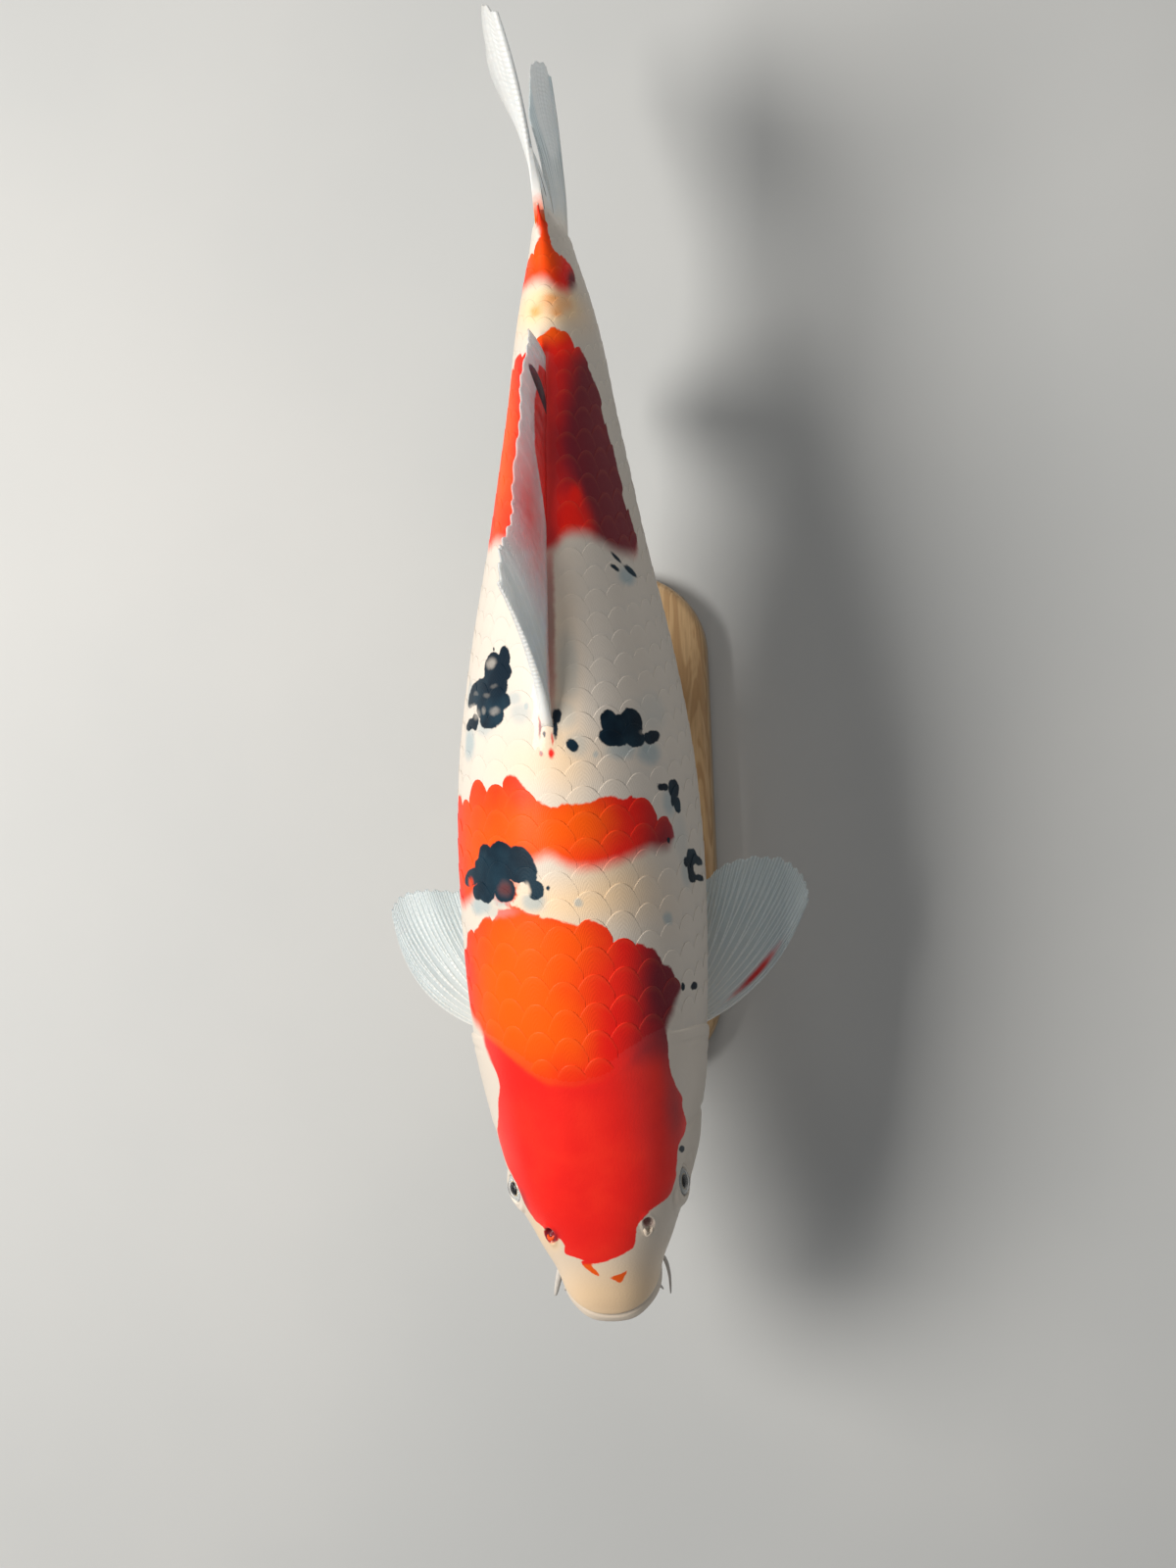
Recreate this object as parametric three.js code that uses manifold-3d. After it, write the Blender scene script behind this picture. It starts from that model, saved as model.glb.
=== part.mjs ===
// A life-size koi carp of the Taisho Sanke kind, gliding level on a small display stand.
// Millimetres. +Z is up, the head points along -Y and the tail along +Y, so the fish's own left side
// is +X. The origin is on the floor, under the middle of the model's box.
import * as THREE from "three";
import { mergeVertices } from "three/addons/utils/BufferGeometryUtils.js";
import Module from "manifold-3d";

const wasm = await Module();
wasm.setup();

// ---- driving dimensions ----
const TOTAL_LENGTH = 640; // snout to the tips of the tail fin
const AXIS_HEIGHT = 146; // the body's axis above the floor
const GAP = 0.3; // clearance between neighbouring solids
const SNOUT_Y = -TOTAL_LENGTH / 2;

const HEAD_YAW = 3.2; // how far the snout turns to the fish's left
const HEAD_YAW_FROM = 100; // distance from the snout where that turn starts
const TAIL_YAW = 2; // how far the tail stalk swings to the right
const TAIL_YAW_FROM = 450;

const EYE_AT = 70.5; // distance from the snout
const EYE_RADIUS = 9.5;
const EYE_APEX = 45.4; // from the middle plane to the cornea
const EYE_RISE = 3; // above the body's axis

const DORSAL_FIN = { from: 288, to: 466 };
const ANAL_FIN = { from: 415, to: 459 };
const TAIL_FIN = {
  from: 540,
  root: 33,
  lobe: 105,
  upper: { sweep: 11.5, power: 2.8, cup: 24 },
  lower: { sweep: 9, power: 2, cup: 11 },
};

const GILL_PLATE = 3.5; // thickness of a gill cover
const STAND = {
  length: 270,
  width: 100,
  thickness: 14,
  corner: 44,
  centre: 244, // distance from the snout, under the fish's weight
  rodRadius: 4,
  rods: [176, 322],
};

// ---- the body's shape, one row at each place where it changes ----
// at: distance from the snout. half: half the width. top, bottom: back and belly from the axis.
// wide: height of the widest line. upper, lower: 2 is an ellipse, more is squarer, less is sharper.
const COLUMNS = ["at", "half", "top", "bottom", "wide", "upper", "lower"];
const LANDMARKS = [
  [0, 0, -17, -17, -17, 2, 2], // tip of the lips
  [2, 10.5, -9.5, -23.5, -16.5, 2.1, 2.1],
  [8, 18, -2.5, -29, -17, 2.1, 2.1], // lips
  [16, 23, 4.5, -33.5, -17, 2.1, 2.1],
  [30, 26.8, 14.5, -39.5, -11, 2.1, 2.15], // corner of the mouth
  [47, 34.4, 25, -46, -7, 2.2, 2.2], // nostrils
  [66, 42.4, 34.5, -52, -6, 2.4, 2.2], // eyes
  [90, 49.2, 45, -58.5, -7, 2.4, 2.2], // cheeks
  [118, 54, 55.5, -63.8, -7, 2.3, 2.2], // nape
  [143, 57, 64, -67.5, -5, 2.2, 2.2], // edge of the gill cover
  [180, 59.3, 73, -71, -2, 2.1, 2.2], // shoulder
  [216, 60.2, 79, -73, 0, 2, 2.2],
  [250, 59.5, 83, -73.5, 2, 1.95, 2.15], // root of the pelvic fins
  [288, 56.5, 84.5, -73, 3, 1.9, 2.1], // front of the dorsal fin
  [336, 48.8, 80.5, -69.5, 3, 1.85, 2.05],
  [387, 38, 72, -62, 2, 1.85, 2],
  [419, 32, 64, -54, 1.5, 1.85, 2], // front of the anal fin
  [452, 26.2, 54.5, -44, 1, 1.85, 2],
  [480, 22, 46.5, -38, 1, 1.9, 2],
  [505, 16.9, 39, -34.5, 0.5, 1.95, 2],
  [528, 10.6, 35.5, -33, 0, 2, 2], // thinnest part of the tail stalk
  [541, 7.2, 35, -33.5, 0, 2, 2],
  [550, 4, 35.5, -34.5, 0, 2, 2], // end of the flesh in the tail fin
  [551, 0, 0, 0, 0, 2, 2],
];
const LAST = LANDMARKS.length - 1;
const END = LANDMARKS[LAST][0];
const BODY_SIDES = 28;
const BODY_RINGS = 2 * LAST;

// A smooth curve through evenly numbered values, read at place u between 0 and the last number.
function through(values, u) {
  const i = Math.min(Math.max(Math.floor(u), 0), values.length - 2);
  const f = u - i;
  const [a, b] = [values[Math.max(i - 1, 0)], values[i]];
  const [c, d] = [values[i + 1], values[Math.min(i + 2, values.length - 1)]];
  const square = 2 * a - 5 * b + 4 * c - d;
  const cube = 3 * b - a - 3 * c + d;
  return 0.5 * (2 * b + (c - a) * f + square * f * f + cube * f * f * f);
}

// The same, read at a share of the whole run, from 0 to 1.
const share = (values, t) => through(values, t * (values.length - 1));

const columnValues = COLUMNS.map((_, c) => LANDMARKS.map((row) => row[c]));

function sectionAt(u) {
  return Object.fromEntries(COLUMNS.map((name, c) => [name, through(columnValues[c], u)]));
}

// The place u on the landmark list that lies at a distance from the snout.
function placeOf(at) {
  let [low, high] = [0, LAST];
  for (let i = 0; i < 30; i++) {
    const middle = (low + high) / 2;
    if (through(columnValues[0], middle) < at) low = middle;
    else high = middle;
  }
  return low;
}

const section = (at) => sectionAt(placeOf(at));

// How far the body's middle plane is bent sideways at a distance from the snout.
function bend(at) {
  const head = Math.max(0, (HEAD_YAW_FROM - at) / HEAD_YAW_FROM);
  const tail = Math.max(0, (at - TAIL_YAW_FROM) / 100);
  return HEAD_YAW * head * (2 - head) - TAIL_YAW * tail ** 2;
}

// A point of the model from its distance behind the snout, its place across and its height over the axis.
function place(at, across, height) {
  return new THREE.Vector3(bend(at) + across, SNOUT_Y + at, AXIS_HEIGHT + height);
}

// A point of the skin across and over the axis; angle is 0 on the back, 90 degrees on the left side.
function skinPoint(row, angle, grow = 0) {
  if (row.half < 0.01) return [0, row.wide];
  const [across, up] = [Math.sin(angle), Math.cos(angle)];
  const power = 2 / (up >= 0 ? row.upper : row.lower);
  const reach = grow + (up >= 0 ? row.top - row.wide : row.wide - row.bottom);
  const height = row.wide + Math.sign(up) * reach * Math.abs(up) ** power;
  return [(row.half + grow) * Math.sign(across) * Math.abs(across) ** power, height];
}

// ---- geometry helpers ----
const materials = {
  skin: new THREE.MeshStandardMaterial({ color: 0xf0e6d8, roughness: 0.3 }),
  red: new THREE.MeshStandardMaterial({ color: 0xe8401c, roughness: 0.3 }),
  fin: new THREE.MeshStandardMaterial({ color: 0xe3e6e4, roughness: 0.4 }),
  eye: new THREE.MeshStandardMaterial({ color: 0x10141a, roughness: 0.08 }),
  wood: new THREE.MeshStandardMaterial({ color: 0xd9c6a3, roughness: 0.5 }),
  steel: new THREE.MeshStandardMaterial({ color: 0xb9bcc0, roughness: 0.3, metalness: 1 }),
};

// Moves every vertex of a closed three.js geometry and keeps only its merged positions.
function reshaped(geometry, move) {
  const from = geometry.getAttribute("position");
  const uv = geometry.getAttribute("uv");
  const moved = new Float32Array(from.count * 3);
  for (let i = 0; i < from.count; i++) {
    const old = new THREE.Vector3().fromBufferAttribute(from, i);
    move(old, uv.getX(i), uv.getY(i)).toArray(moved, i * 3);
  }
  const bare = new THREE.BufferGeometry();
  bare.setAttribute("position", new THREE.BufferAttribute(moved, 3));
  bare.setIndex(geometry.index);
  return mergeVertices(bare, 1e-3);
}

// A manifold solid from a closed three.js geometry, its faces turned outwards.
function solid(geometry) {
  const bare = geometry.clone();
  bare.deleteAttribute("normal");
  bare.deleteAttribute("uv");
  const merged = mergeVertices(bare, 1e-3);
  const corners = merged.index.array;
  const closed = (faces) =>
    new wasm.Manifold(
      new wasm.Mesh({
        numProp: 3,
        vertProperties: new Float32Array(merged.getAttribute("position").array),
        triVerts: new Uint32Array(faces),
      }),
    );
  const made = closed(corners);
  return made.volume() > 0 ? made : closed(Array.from(corners).reverse());
}

function geometryOf(made) {
  const mesh = made.getMesh();
  const geometry = new THREE.BufferGeometry();
  geometry.setAttribute("position", new THREE.BufferAttribute(mesh.vertProperties, 3));
  geometry.setIndex(new THREE.BufferAttribute(mesh.triVerts, 1));
  return geometry;
}

// The largest piece of a solid that a cut has left in several.
function largest(made) {
  return made.decompose().sort((a, b) => b.volume() - a.volume())[0];
}

const koi = new THREE.Group();

function add(name, made, material) {
  const geometry = geometryOf(largest(made));
  geometry.computeVertexNormals();
  const mesh = new THREE.Mesh(geometry, material);
  mesh.name = name;
  koi.add(mesh);
}

// ---- the whole body as one closed form, grown or shrunk by a few millimetres ----
function body(grow = 0) {
  const ball = new THREE.SphereGeometry(1, BODY_SIDES, BODY_RINGS);
  return solid(
    reshaped(ball, (_, around, down) => {
      const row = sectionAt((1 - down) * LAST);
      const [across, height] = skinPoint(row, 2 * Math.PI * around, grow);
      const onward = Math.max(0, 1 - (END - row.at) / 8) - Math.max(0, 1 - row.at / 8);
      return place(row.at + grow * onward, across, height);
    }),
  );
}

// A block as wide as the model whose outline is drawn from the side, in distance and height.
function sideBlock(points, halfWidth = 150) {
  const outline = new THREE.Shape(points.map(([at, height]) => new THREE.Vector2(at, height)));
  const block = new THREE.ExtrudeGeometry(outline, { depth: 2 * halfWidth, bevelEnabled: false });
  return solid(
    reshaped(block, (p) => new THREE.Vector3(p.z - halfWidth, SNOUT_Y + p.x, AXIS_HEIGHT + p.y)),
  );
}

function curved(points, steps) {
  const curve = new THREE.CatmullRomCurve3(points.map(([x, y]) => new THREE.Vector3(x, y, 0)));
  return curve.getPoints(steps).map((p) => [p.x, p.y]);
}

// The rear edge of the head: over the nape, back round the gill covers and forward under the throat.
function headBlock(shift) {
  const edge = curved(
    [
      [120, 66],
      [123, 54],
      [131, 38],
      [142, 14],
      [146, -8],
      [140, -32],
      [124, -51],
      [106, -68],
    ],
    16,
  ).map(([at, height]) => [at + shift, height]);
  return sideBlock([[-30, 110], [120 + shift, 110], ...edge, [106 + shift, -110], [-30, -110]]);
}

// The lower jaw: under the mouth's line, in front of a cut from the mouth's corner to the throat.
function jawBlock(lift) {
  const line = curved(
    [
      [-6, -17],
      [4, -18],
      [14, -21.5],
      [27, -28],
      [40, -36],
      [54, -47],
      [60, -64],
    ],
    12,
  ).map(([at, height]) => [at + lift, height + lift]);
  return sideBlock([[-20, -17 + lift], ...line, [60 + lift, -100], [-20, -100]]);
}

// A gill cover's outline, which ends on the head's rear edge.
function gillBlock(grow, side) {
  const centre = [112, -10];
  const outline = curved(
    [
      [84, 8],
      [90, 27],
      [108, 38],
      [126, 36],
      [160, -8],
      [124, -54],
      [104, -52],
      [88, -32],
      [84, 8],
    ],
    20,
  ).map(([at, height]) => {
    const size = Math.hypot(at - centre[0], height - centre[1]);
    return [
      at + ((at - centre[0]) / size) * grow,
      height + ((height - centre[1]) / size) * grow,
    ];
  });
  const half = sideBlock([[-30, 110], [300, 110], [300, -110], [-30, -110]], 75);
  return sideBlock(outline.slice(0, -1)).intersect(half.translate([side * 75, 0, 0]));
}

const whole = body();
const clear = body(GAP);
const head = whole.intersect(headBlock(0));
const rear = whole.subtract(headBlock(GAP * 1.6));
const STALK_FROM = 470;
const stalkBlock = (shift) =>
  sideBlock([[STALK_FROM + shift, 110], [600, 110], [600, -110], [STALK_FROM + shift, -110]]);

// ---- eyes: a full ball each, set two thirds of the way into the head ----
function eyeball(side, grow = 0) {
  const ball = solid(new THREE.SphereGeometry(EYE_RADIUS + grow, 14, 9));
  const centre = place(EYE_AT, side * (EYE_APEX - EYE_RADIUS), EYE_RISE);
  return ball.translate(centre.toArray());
}

// ---- fins: a thin closed plate, a runs across the rays and b from root to tip ----
function finPlate(point, thickness, across = 10, along = 6) {
  const box = new THREE.BoxGeometry(1, 1, 1, across, along, 1);
  const step = 0.01;
  return solid(
    reshaped(box, (p) => {
      const [a, b] = [p.x + 0.5, p.y + 0.5];
      const beside = point(a + step, b).sub(point(a - step, b));
      const onward = point(a, b + step).sub(point(a, b - step));
      const normal = beside.cross(onward).normalize();
      return point(a, b).addScaledVector(normal, p.z * thickness(a, b));
    }),
  );
}

// Thick at the root and at the leading ray, thin at the edge, and never under half a millimetre.
const finThickness = (root, edge, lead) => (a, b) =>
  root * (1 - b) + edge * b + lead * Math.max(0, 1 - 10 * a) * (1 - 0.6 * b);

const radians = THREE.MathUtils.degToRad;

function dorsalFin(a, b) {
  const at = DORSAL_FIN.from + a * (DORSAL_FIN.to - DORSAL_FIN.from);
  const length = share([80, 77, 62, 52, 46, 43, 41, 38, 34, 28, 20], a);
  const rise = radians(share([27, 27, 26, 24, 22, 20, 18, 16, 13, 10, 7], a)) * (1.12 - 0.24 * b);
  const root = section(at).top - 4;
  const run = length * b;
  const lean = -share([15, 15, 14, 12, 11, 10, 9, 8, 8, 7, 6], a) * Math.max(b, 0) ** 2.2;
  return place(at, lean, root + 4 * b + run * Math.sin(rise)).add(
    new THREE.Vector3(0, run * Math.cos(rise), 0),
  );
}

function analFin(a, b) {
  const at = ANAL_FIN.from + a * (ANAL_FIN.to - ANAL_FIN.from);
  const length = share([64, 66, 57, 48, 39, 30], a);
  const drop = radians(share([50, 47, 42, 36, 30, 24], a)) * (1.1 - 0.25 * b);
  const root = section(at).bottom + 4;
  const run = length * b;
  return place(at, -3 * b * b, root - 4 * b - run * Math.sin(drop)).add(
    new THREE.Vector3(0, run * Math.cos(drop), 0),
  );
}

// One lobe of the tail fin; a is 0 on its outer edge and 1 at the fork. up is 1 above and -1 below.
const tailLobe = (up) => (a, b) => {
  const length = TAIL_FIN.lobe * share([0.96, 1, 0.98, 0.91, 0.8, 0.68, 0.58, 0.5, 0.46], a);
  const rise = radians(share([25, 24, 21, 17, 13, 9, 6, 3, 0], a)) * (1.15 - 0.3 * b);
  const at = TAIL_FIN.from + 4 * Math.sin(Math.PI * a * 0.5);
  const root = TAIL_FIN.root * (1 - a) + GAP * 0.5;
  const { sweep, power, cup } = up > 0 ? TAIL_FIN.upper : TAIL_FIN.lower;
  const reach = (length * Math.max(b, 0)) / TAIL_FIN.lobe;
  const hollow = Math.max(a, 0) ** 0.5 * Math.sin(0.8 * Math.PI * reach ** 1.9);
  return place(at, -sweep * reach ** power - cup * hollow, up * (root + length * b * Math.sin(rise))).add(
    new THREE.Vector3(0, length * b * Math.cos(rise), 0),
  );
};

// The pectoral fins reach out nearly level from behind the gill covers, the right one a little further
// forward. Each ray is a bow from the root to the fin's edge, which runs from the tip of the leading ray
// round to the inner corner.
const PECTORAL_FINS = {
  left: {
    bow: 0.12,
    across: [106, 107.3, 104.5, 98, 87, 74, 61, 50, 42],
    at: [203, 210, 218, 225, 228, 227, 222, 210, 192],
  },
  right: {
    bow: 0.185,
    across: [107, 107.2, 103.5, 95, 85, 73, 60, 49, 41],
    at: [203, 209, 215, 217.5, 217.5, 216, 212, 203, 190],
  },
};

const pectoralFin = (name, side) => (a, b) => {
  const fin = PECTORAL_FINS[name];
  const root = [38 + 5 * a, 139 + 14 * a];
  const tip = [share(fin.across, a), share(fin.at, a)];
  const reach = Math.hypot(tip[0] - root[0], tip[1] - root[1]);
  const bow = 4 * fin.bow * reach * Math.max(0, 1 - a) ** 1.5 * b * (1 - b);
  const [out, back] = root.map((r, i) => r + (tip[i] - r) * b);
  const height = AXIS_HEIGHT - 39 - 2 * a - 6 * b * b;
  return new THREE.Vector3(side * (out + 0.75 * bow), SNOUT_Y + back - 0.66 * bow, height);
};

// The pelvic fins trail back and down from the belly.
const pelvicFin = (side) => (a, b) => {
  const length = share([74, 77, 72, 62, 50, 36], a);
  const direction = new THREE.Vector3(0.13 - 0.15 * a, 0.92, -0.4 + 0.14 * a).normalize();
  const curl = new THREE.Vector3(0, 0.05, 0.09).multiplyScalar(length * b * b);
  const root = new THREE.Vector3(21 - 10 * a, SNOUT_Y + 268 + 8 * a, AXIS_HEIGHT - 65);
  const p = root.addScaledVector(direction, length * b).add(curl);
  return new THREE.Vector3(side * p.x, p.y, p.z);
};

const freeOfBody = (fin) => fin.subtract(clear);

// ---- barbels: two short ones on the upper lip and two longer ones at the mouth's corners ----
function barbel(points, rootRadius, tipRadius) {
  const curve = new THREE.CatmullRomCurve3(points);
  const tube = new THREE.CylinderGeometry(1, 1, 1, 7, 5);
  return solid(
    reshaped(tube, (p) => {
      const t = 0.5 - p.y;
      const tangent = curve.getTangentAt(Math.min(Math.max(t, 0), 1));
      const side = new THREE.Vector3(0, 0, 1).cross(tangent).normalize();
      const up = tangent.clone().cross(side);
      const radius = rootRadius + (tipRadius - rootRadius) * t;
      const middle = curve.getPointAt(Math.min(Math.max(t, 0), 1));
      return middle.addScaledVector(side, p.x * radius).addScaledVector(up, -p.z * radius);
    }),
  );
}

function barbelPoints(kind, side) {
  const rows = {
    front: [
      [19, 20, -14],
      [17.5, 23, -16.5],
      [15, 24.5, -20],
      [13.5, 24.5, -24],
    ],
    rear: [
      [32, 22, -26],
      [28, 25.5, -28],
      [20, 28, -31],
      [9, 29.5, -36],
    ],
  }[kind];
  const splay = kind === "rear" ? [0, 0, 1, 3] : [0, 0, 0, 0];
  return rows.map(([at, across, height], i) => place(at, side * (across - side * splay[i]), height));
}

// ---- display stand: a wooden base and two steel rods ----
function standBase() {
  const [l, w, r] = [STAND.length / 2, STAND.width / 2, STAND.corner];
  const outline = new THREE.Shape();
  outline.absarc(w - r, l - r, r, 0, Math.PI / 2);
  outline.absarc(r - w, l - r, r, Math.PI / 2, Math.PI);
  outline.absarc(r - w, r - l, r, Math.PI, 1.5 * Math.PI);
  outline.absarc(w - r, r - l, r, 1.5 * Math.PI, 2 * Math.PI);
  const edge = 2;
  const plate = new THREE.ExtrudeGeometry(outline, {
    depth: STAND.thickness - 2 * edge,
    bevelSize: edge,
    bevelThickness: edge,
    bevelOffset: -edge,
    bevelSegments: 1,
    curveSegments: 6,
  });
  return solid(plate).translate([0, SNOUT_Y + STAND.centre, edge]);
}

// An upright cylinder of the stand between two heights.
function upright(at, radius, from, to, sides = 16) {
  const rod = new THREE.CylinderGeometry(radius, radius, to - from, sides).rotateX(Math.PI / 2);
  return solid(rod).translate([0, SNOUT_Y + at, (from + to) / 2]);
}

// ---- the pieces ----
const eyes = { left: eyeball(1), right: eyeball(-1) };
const sockets = eyeball(1, GAP).add(eyeball(-1, GAP));
const gillShell = whole.subtract(body(-GILL_PLATE));
const gillPocket = body(1).subtract(body(-GILL_PLATE - GAP));
const skull = head
  .subtract(jawBlock(0))
  .subtract(sockets)
  .subtract(gillPocket.intersect(gillBlock(GAP, 1)))
  .subtract(gillPocket.intersect(gillBlock(GAP, -1)));

add("head", skull, materials.red);
add("lower_jaw", head.intersect(jawBlock(-GAP)), materials.skin);
for (const [name, side] of [["left", 1], ["right", -1]]) {
  const cover = gillShell.intersect(headBlock(0)).intersect(gillBlock(0, side));
  add(`gill_cover_${name}`, cover, materials.skin);
  add(`eye_${name}`, eyes[name], materials.eye);
  for (const kind of ["front", "rear"]) {
    const feeler = barbel(barbelPoints(kind, side), kind === "rear" ? 1.3 : 1, 0.5);
    add(`barbel_${kind}_${name}`, freeOfBody(feeler), materials.skin);
  }
  const pectoral = finPlate(pectoralFin(name, side), finThickness(3.2, 0.8, 1.2));
  add(`pectoral_fin_${name}`, freeOfBody(pectoral), materials.fin);
  const pelvic = finPlate(pelvicFin(side), finThickness(3, 0.8, 1.2), 9, 6);
  add(`pelvic_fin_${name}`, freeOfBody(pelvic), materials.fin);
}
const rodHoles = STAND.rods.map((at) => upright(at, STAND.rodRadius + GAP, 0, AXIS_HEIGHT - 60));
const trunk = rodHoles.reduce((made, hole) => made.subtract(hole), rear.subtract(stalkBlock(-GAP)));
add("trunk", trunk, materials.skin);
add("tail_stalk", rear.intersect(stalkBlock(0)), materials.skin);
add("dorsal_fin", freeOfBody(finPlate(dorsalFin, finThickness(4, 0.8, 1.4), 18, 6)), materials.fin);
add("anal_fin", freeOfBody(finPlate(analFin, finThickness(3.6, 0.8, 1.2), 9, 6)), materials.fin);
add("tail_fin_upper", freeOfBody(finPlate(tailLobe(1), finThickness(3.4, 0.8, 1.4))), materials.fin);
add("tail_fin_lower", freeOfBody(finPlate(tailLobe(-1), finThickness(3.4, 0.8, 1.4))), materials.fin);

add("stand_base", standBase(), materials.wood);
STAND.rods.forEach((at, i) => {
  const name = ["front", "rear"][i];
  const seat = STAND.thickness + GAP;
  const collar = upright(at, 9, seat, seat + 5, 16).subtract(upright(at, STAND.rodRadius + GAP, 0, 40));
  add(`stand_collar_${name}`, collar, materials.steel);
  add(`stand_rod_${name}`, upright(at, STAND.rodRadius, seat, AXIS_HEIGHT - 61), materials.steel);
});

export default koi;
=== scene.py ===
# A life-size koi carp of the Taisho Sanke kind, gliding level on a small display stand.
# Metres, +Z up. The head points along -Y, so the fish's own left side is +X.
import math

import bmesh
import bpy
import numpy as np
from mathutils import Matrix, Vector


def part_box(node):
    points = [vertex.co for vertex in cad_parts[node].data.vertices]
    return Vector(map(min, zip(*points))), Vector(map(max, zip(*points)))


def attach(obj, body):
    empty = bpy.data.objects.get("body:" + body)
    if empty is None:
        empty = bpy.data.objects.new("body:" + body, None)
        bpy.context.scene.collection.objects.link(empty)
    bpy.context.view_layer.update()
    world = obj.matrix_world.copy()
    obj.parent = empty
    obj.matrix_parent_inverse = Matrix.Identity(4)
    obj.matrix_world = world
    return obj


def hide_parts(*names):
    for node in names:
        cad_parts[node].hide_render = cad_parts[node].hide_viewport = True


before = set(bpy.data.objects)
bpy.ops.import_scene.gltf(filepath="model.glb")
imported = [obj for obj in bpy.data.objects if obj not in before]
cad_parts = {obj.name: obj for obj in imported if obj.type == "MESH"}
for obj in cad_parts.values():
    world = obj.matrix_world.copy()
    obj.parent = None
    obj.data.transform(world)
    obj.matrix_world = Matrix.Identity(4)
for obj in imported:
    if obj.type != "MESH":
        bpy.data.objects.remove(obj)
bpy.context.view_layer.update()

MM = 0.001
AXIS_HEIGHT = 146  # the body's axis over the floor, in millimetres
SNOUT_Y = -320


# ---- the setting ----
# A plain pale floor, a broad soft lamp on the left, a weak one on the right and one behind the tail.
# The camera looks down on the back and leans nine degrees over the fish's left side.
def put(tree, kind, inputs=None, **settings):
    """Adds a node; each input is given a value, or linked to the output socket that it is given."""
    made = tree.nodes.new(kind)
    for name, value in settings.items():
        setattr(made, name, value)
    for key, value in (inputs or {}).items():
        if isinstance(value, bpy.types.NodeSocket):
            tree.links.new(value, made.inputs[key])
        else:
            made.inputs[key].default_value = value
    return made


def maths(tree, operation, first, second=0.0, third=0.0):
    return put(tree, "ShaderNodeMath", {0: first, 1: second, 2: third}, operation=operation).outputs[0]


def blend_of(tree, factor, first, second):
    return put(tree, "ShaderNodeMix", {0: factor, 6: first, 7: second}, data_type="RGBA").outputs[2]


def eased(tree, value, low, high, to_low=0.0, to_high=1.0):
    """A value brought smoothly from one range to another."""
    sockets = {"Value": value, "From Min": low, "From Max": high, "To Min": to_low, "To Max": to_high}
    return put(tree, "ShaderNodeMapRange", sockets, interpolation_type="SMOOTHSTEP").outputs[0]


def reading(tree, name):
    """A value kept on the piece's vertices."""
    return put(tree, "ShaderNodeAttribute", attribute_name=name).outputs["Fac"]


def noise(tree, vector, scale, detail=2.0, roughness=0.5, warp=0.0):
    sockets = {"Vector": vector, "Scale": scale, "Detail": detail, "Roughness": roughness, "Distortion": warp}
    return put(tree, "ShaderNodeTexNoise", sockets).outputs[0]


def places(tree):
    return put(tree, "ShaderNodeTexCoord").outputs["Object"]


def new_material(name, **sockets):
    made = bpy.data.materials.new(name)
    made.use_nodes = True
    shader = made.node_tree.nodes["Principled BSDF"]
    for key, value in sockets.items():
        shader.inputs[key.replace("_", " ")].default_value = value
    return made, made.node_tree, shader


def feed(tree, shader, **inputs):
    """Links the values that change over a surface to its shader."""
    for key, value in inputs.items():
        tree.links.new(value, shader.inputs[key.replace("_", " ")])


def bumped(tree, shader, height, distance):
    bump = put(tree, "ShaderNodeBump", {"Height": height, "Distance": distance, "Strength": 1.0})
    feed(tree, shader, Normal=bump.outputs[0])


def shown(name, mesh, material, smooth):
    mesh.polygons.foreach_set("use_smooth", smooth)
    mesh.materials.append(material)
    made = bpy.data.objects.new(name, mesh)
    bpy.context.scene.collection.objects.link(made)
    return made


def finished(name, bm, material):
    mesh = bpy.data.meshes.new(name)
    bm.to_mesh(mesh)
    bm.free()
    return shown(name, mesh, material, [True] * len(mesh.polygons))


FLOOR_HALF = 4
paint, tree, shader = new_material("floor_paint", Roughness=0.6)
mottle = noise(tree, places(tree), 3.0, 4.0)
colour = blend_of(tree, eased(tree, mottle, 0.3, 0.7), (0.50, 0.52, 0.53, 1), (0.54, 0.555, 0.56, 1))
feed(tree, shader, Base_Color=colour)
bm = bmesh.new()
bmesh.ops.create_grid(bm, x_segments=1, y_segments=1, size=FLOOR_HALF)
finished("floor", bm, paint)

world = bpy.data.worlds.new("studio")
world.use_nodes = True
world.node_tree.nodes["Background"].inputs["Color"].default_value = (0.93, 0.96, 1.0, 1)
world.node_tree.nodes["Background"].inputs["Strength"].default_value = 0.14
bpy.context.scene.world = world
bpy.context.scene.view_settings.view_transform = "Standard"

LAMPS = [  # name, place, size, watts
    ("key", (-1.0, 0.08, 1.38), 0.8, 32.5),
    ("fill", (1.1, -0.5, 1.0), 1.4, 1.6),
    ("tail_light", (0.1, 1.3, 0.9), 0.8, 4),
]
LAMP_COLOUR = (1.0, 0.95, 0.88)
for name, spot, size, watts in LAMPS:
    lamp = bpy.data.lights.new(name, "AREA")
    lamp.size = size
    lamp.energy = watts
    lamp.color = LAMP_COLOUR
    lamp_object = bpy.data.objects.new(name, lamp)
    lamp_object.location = spot
    aim = Vector((0, 0, AXIS_HEIGHT * MM)) - Vector(spot)
    lamp_object.rotation_euler = aim.to_track_quat("-Z", "Y").to_euler()
    bpy.context.scene.collection.objects.link(lamp_object)

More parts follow.
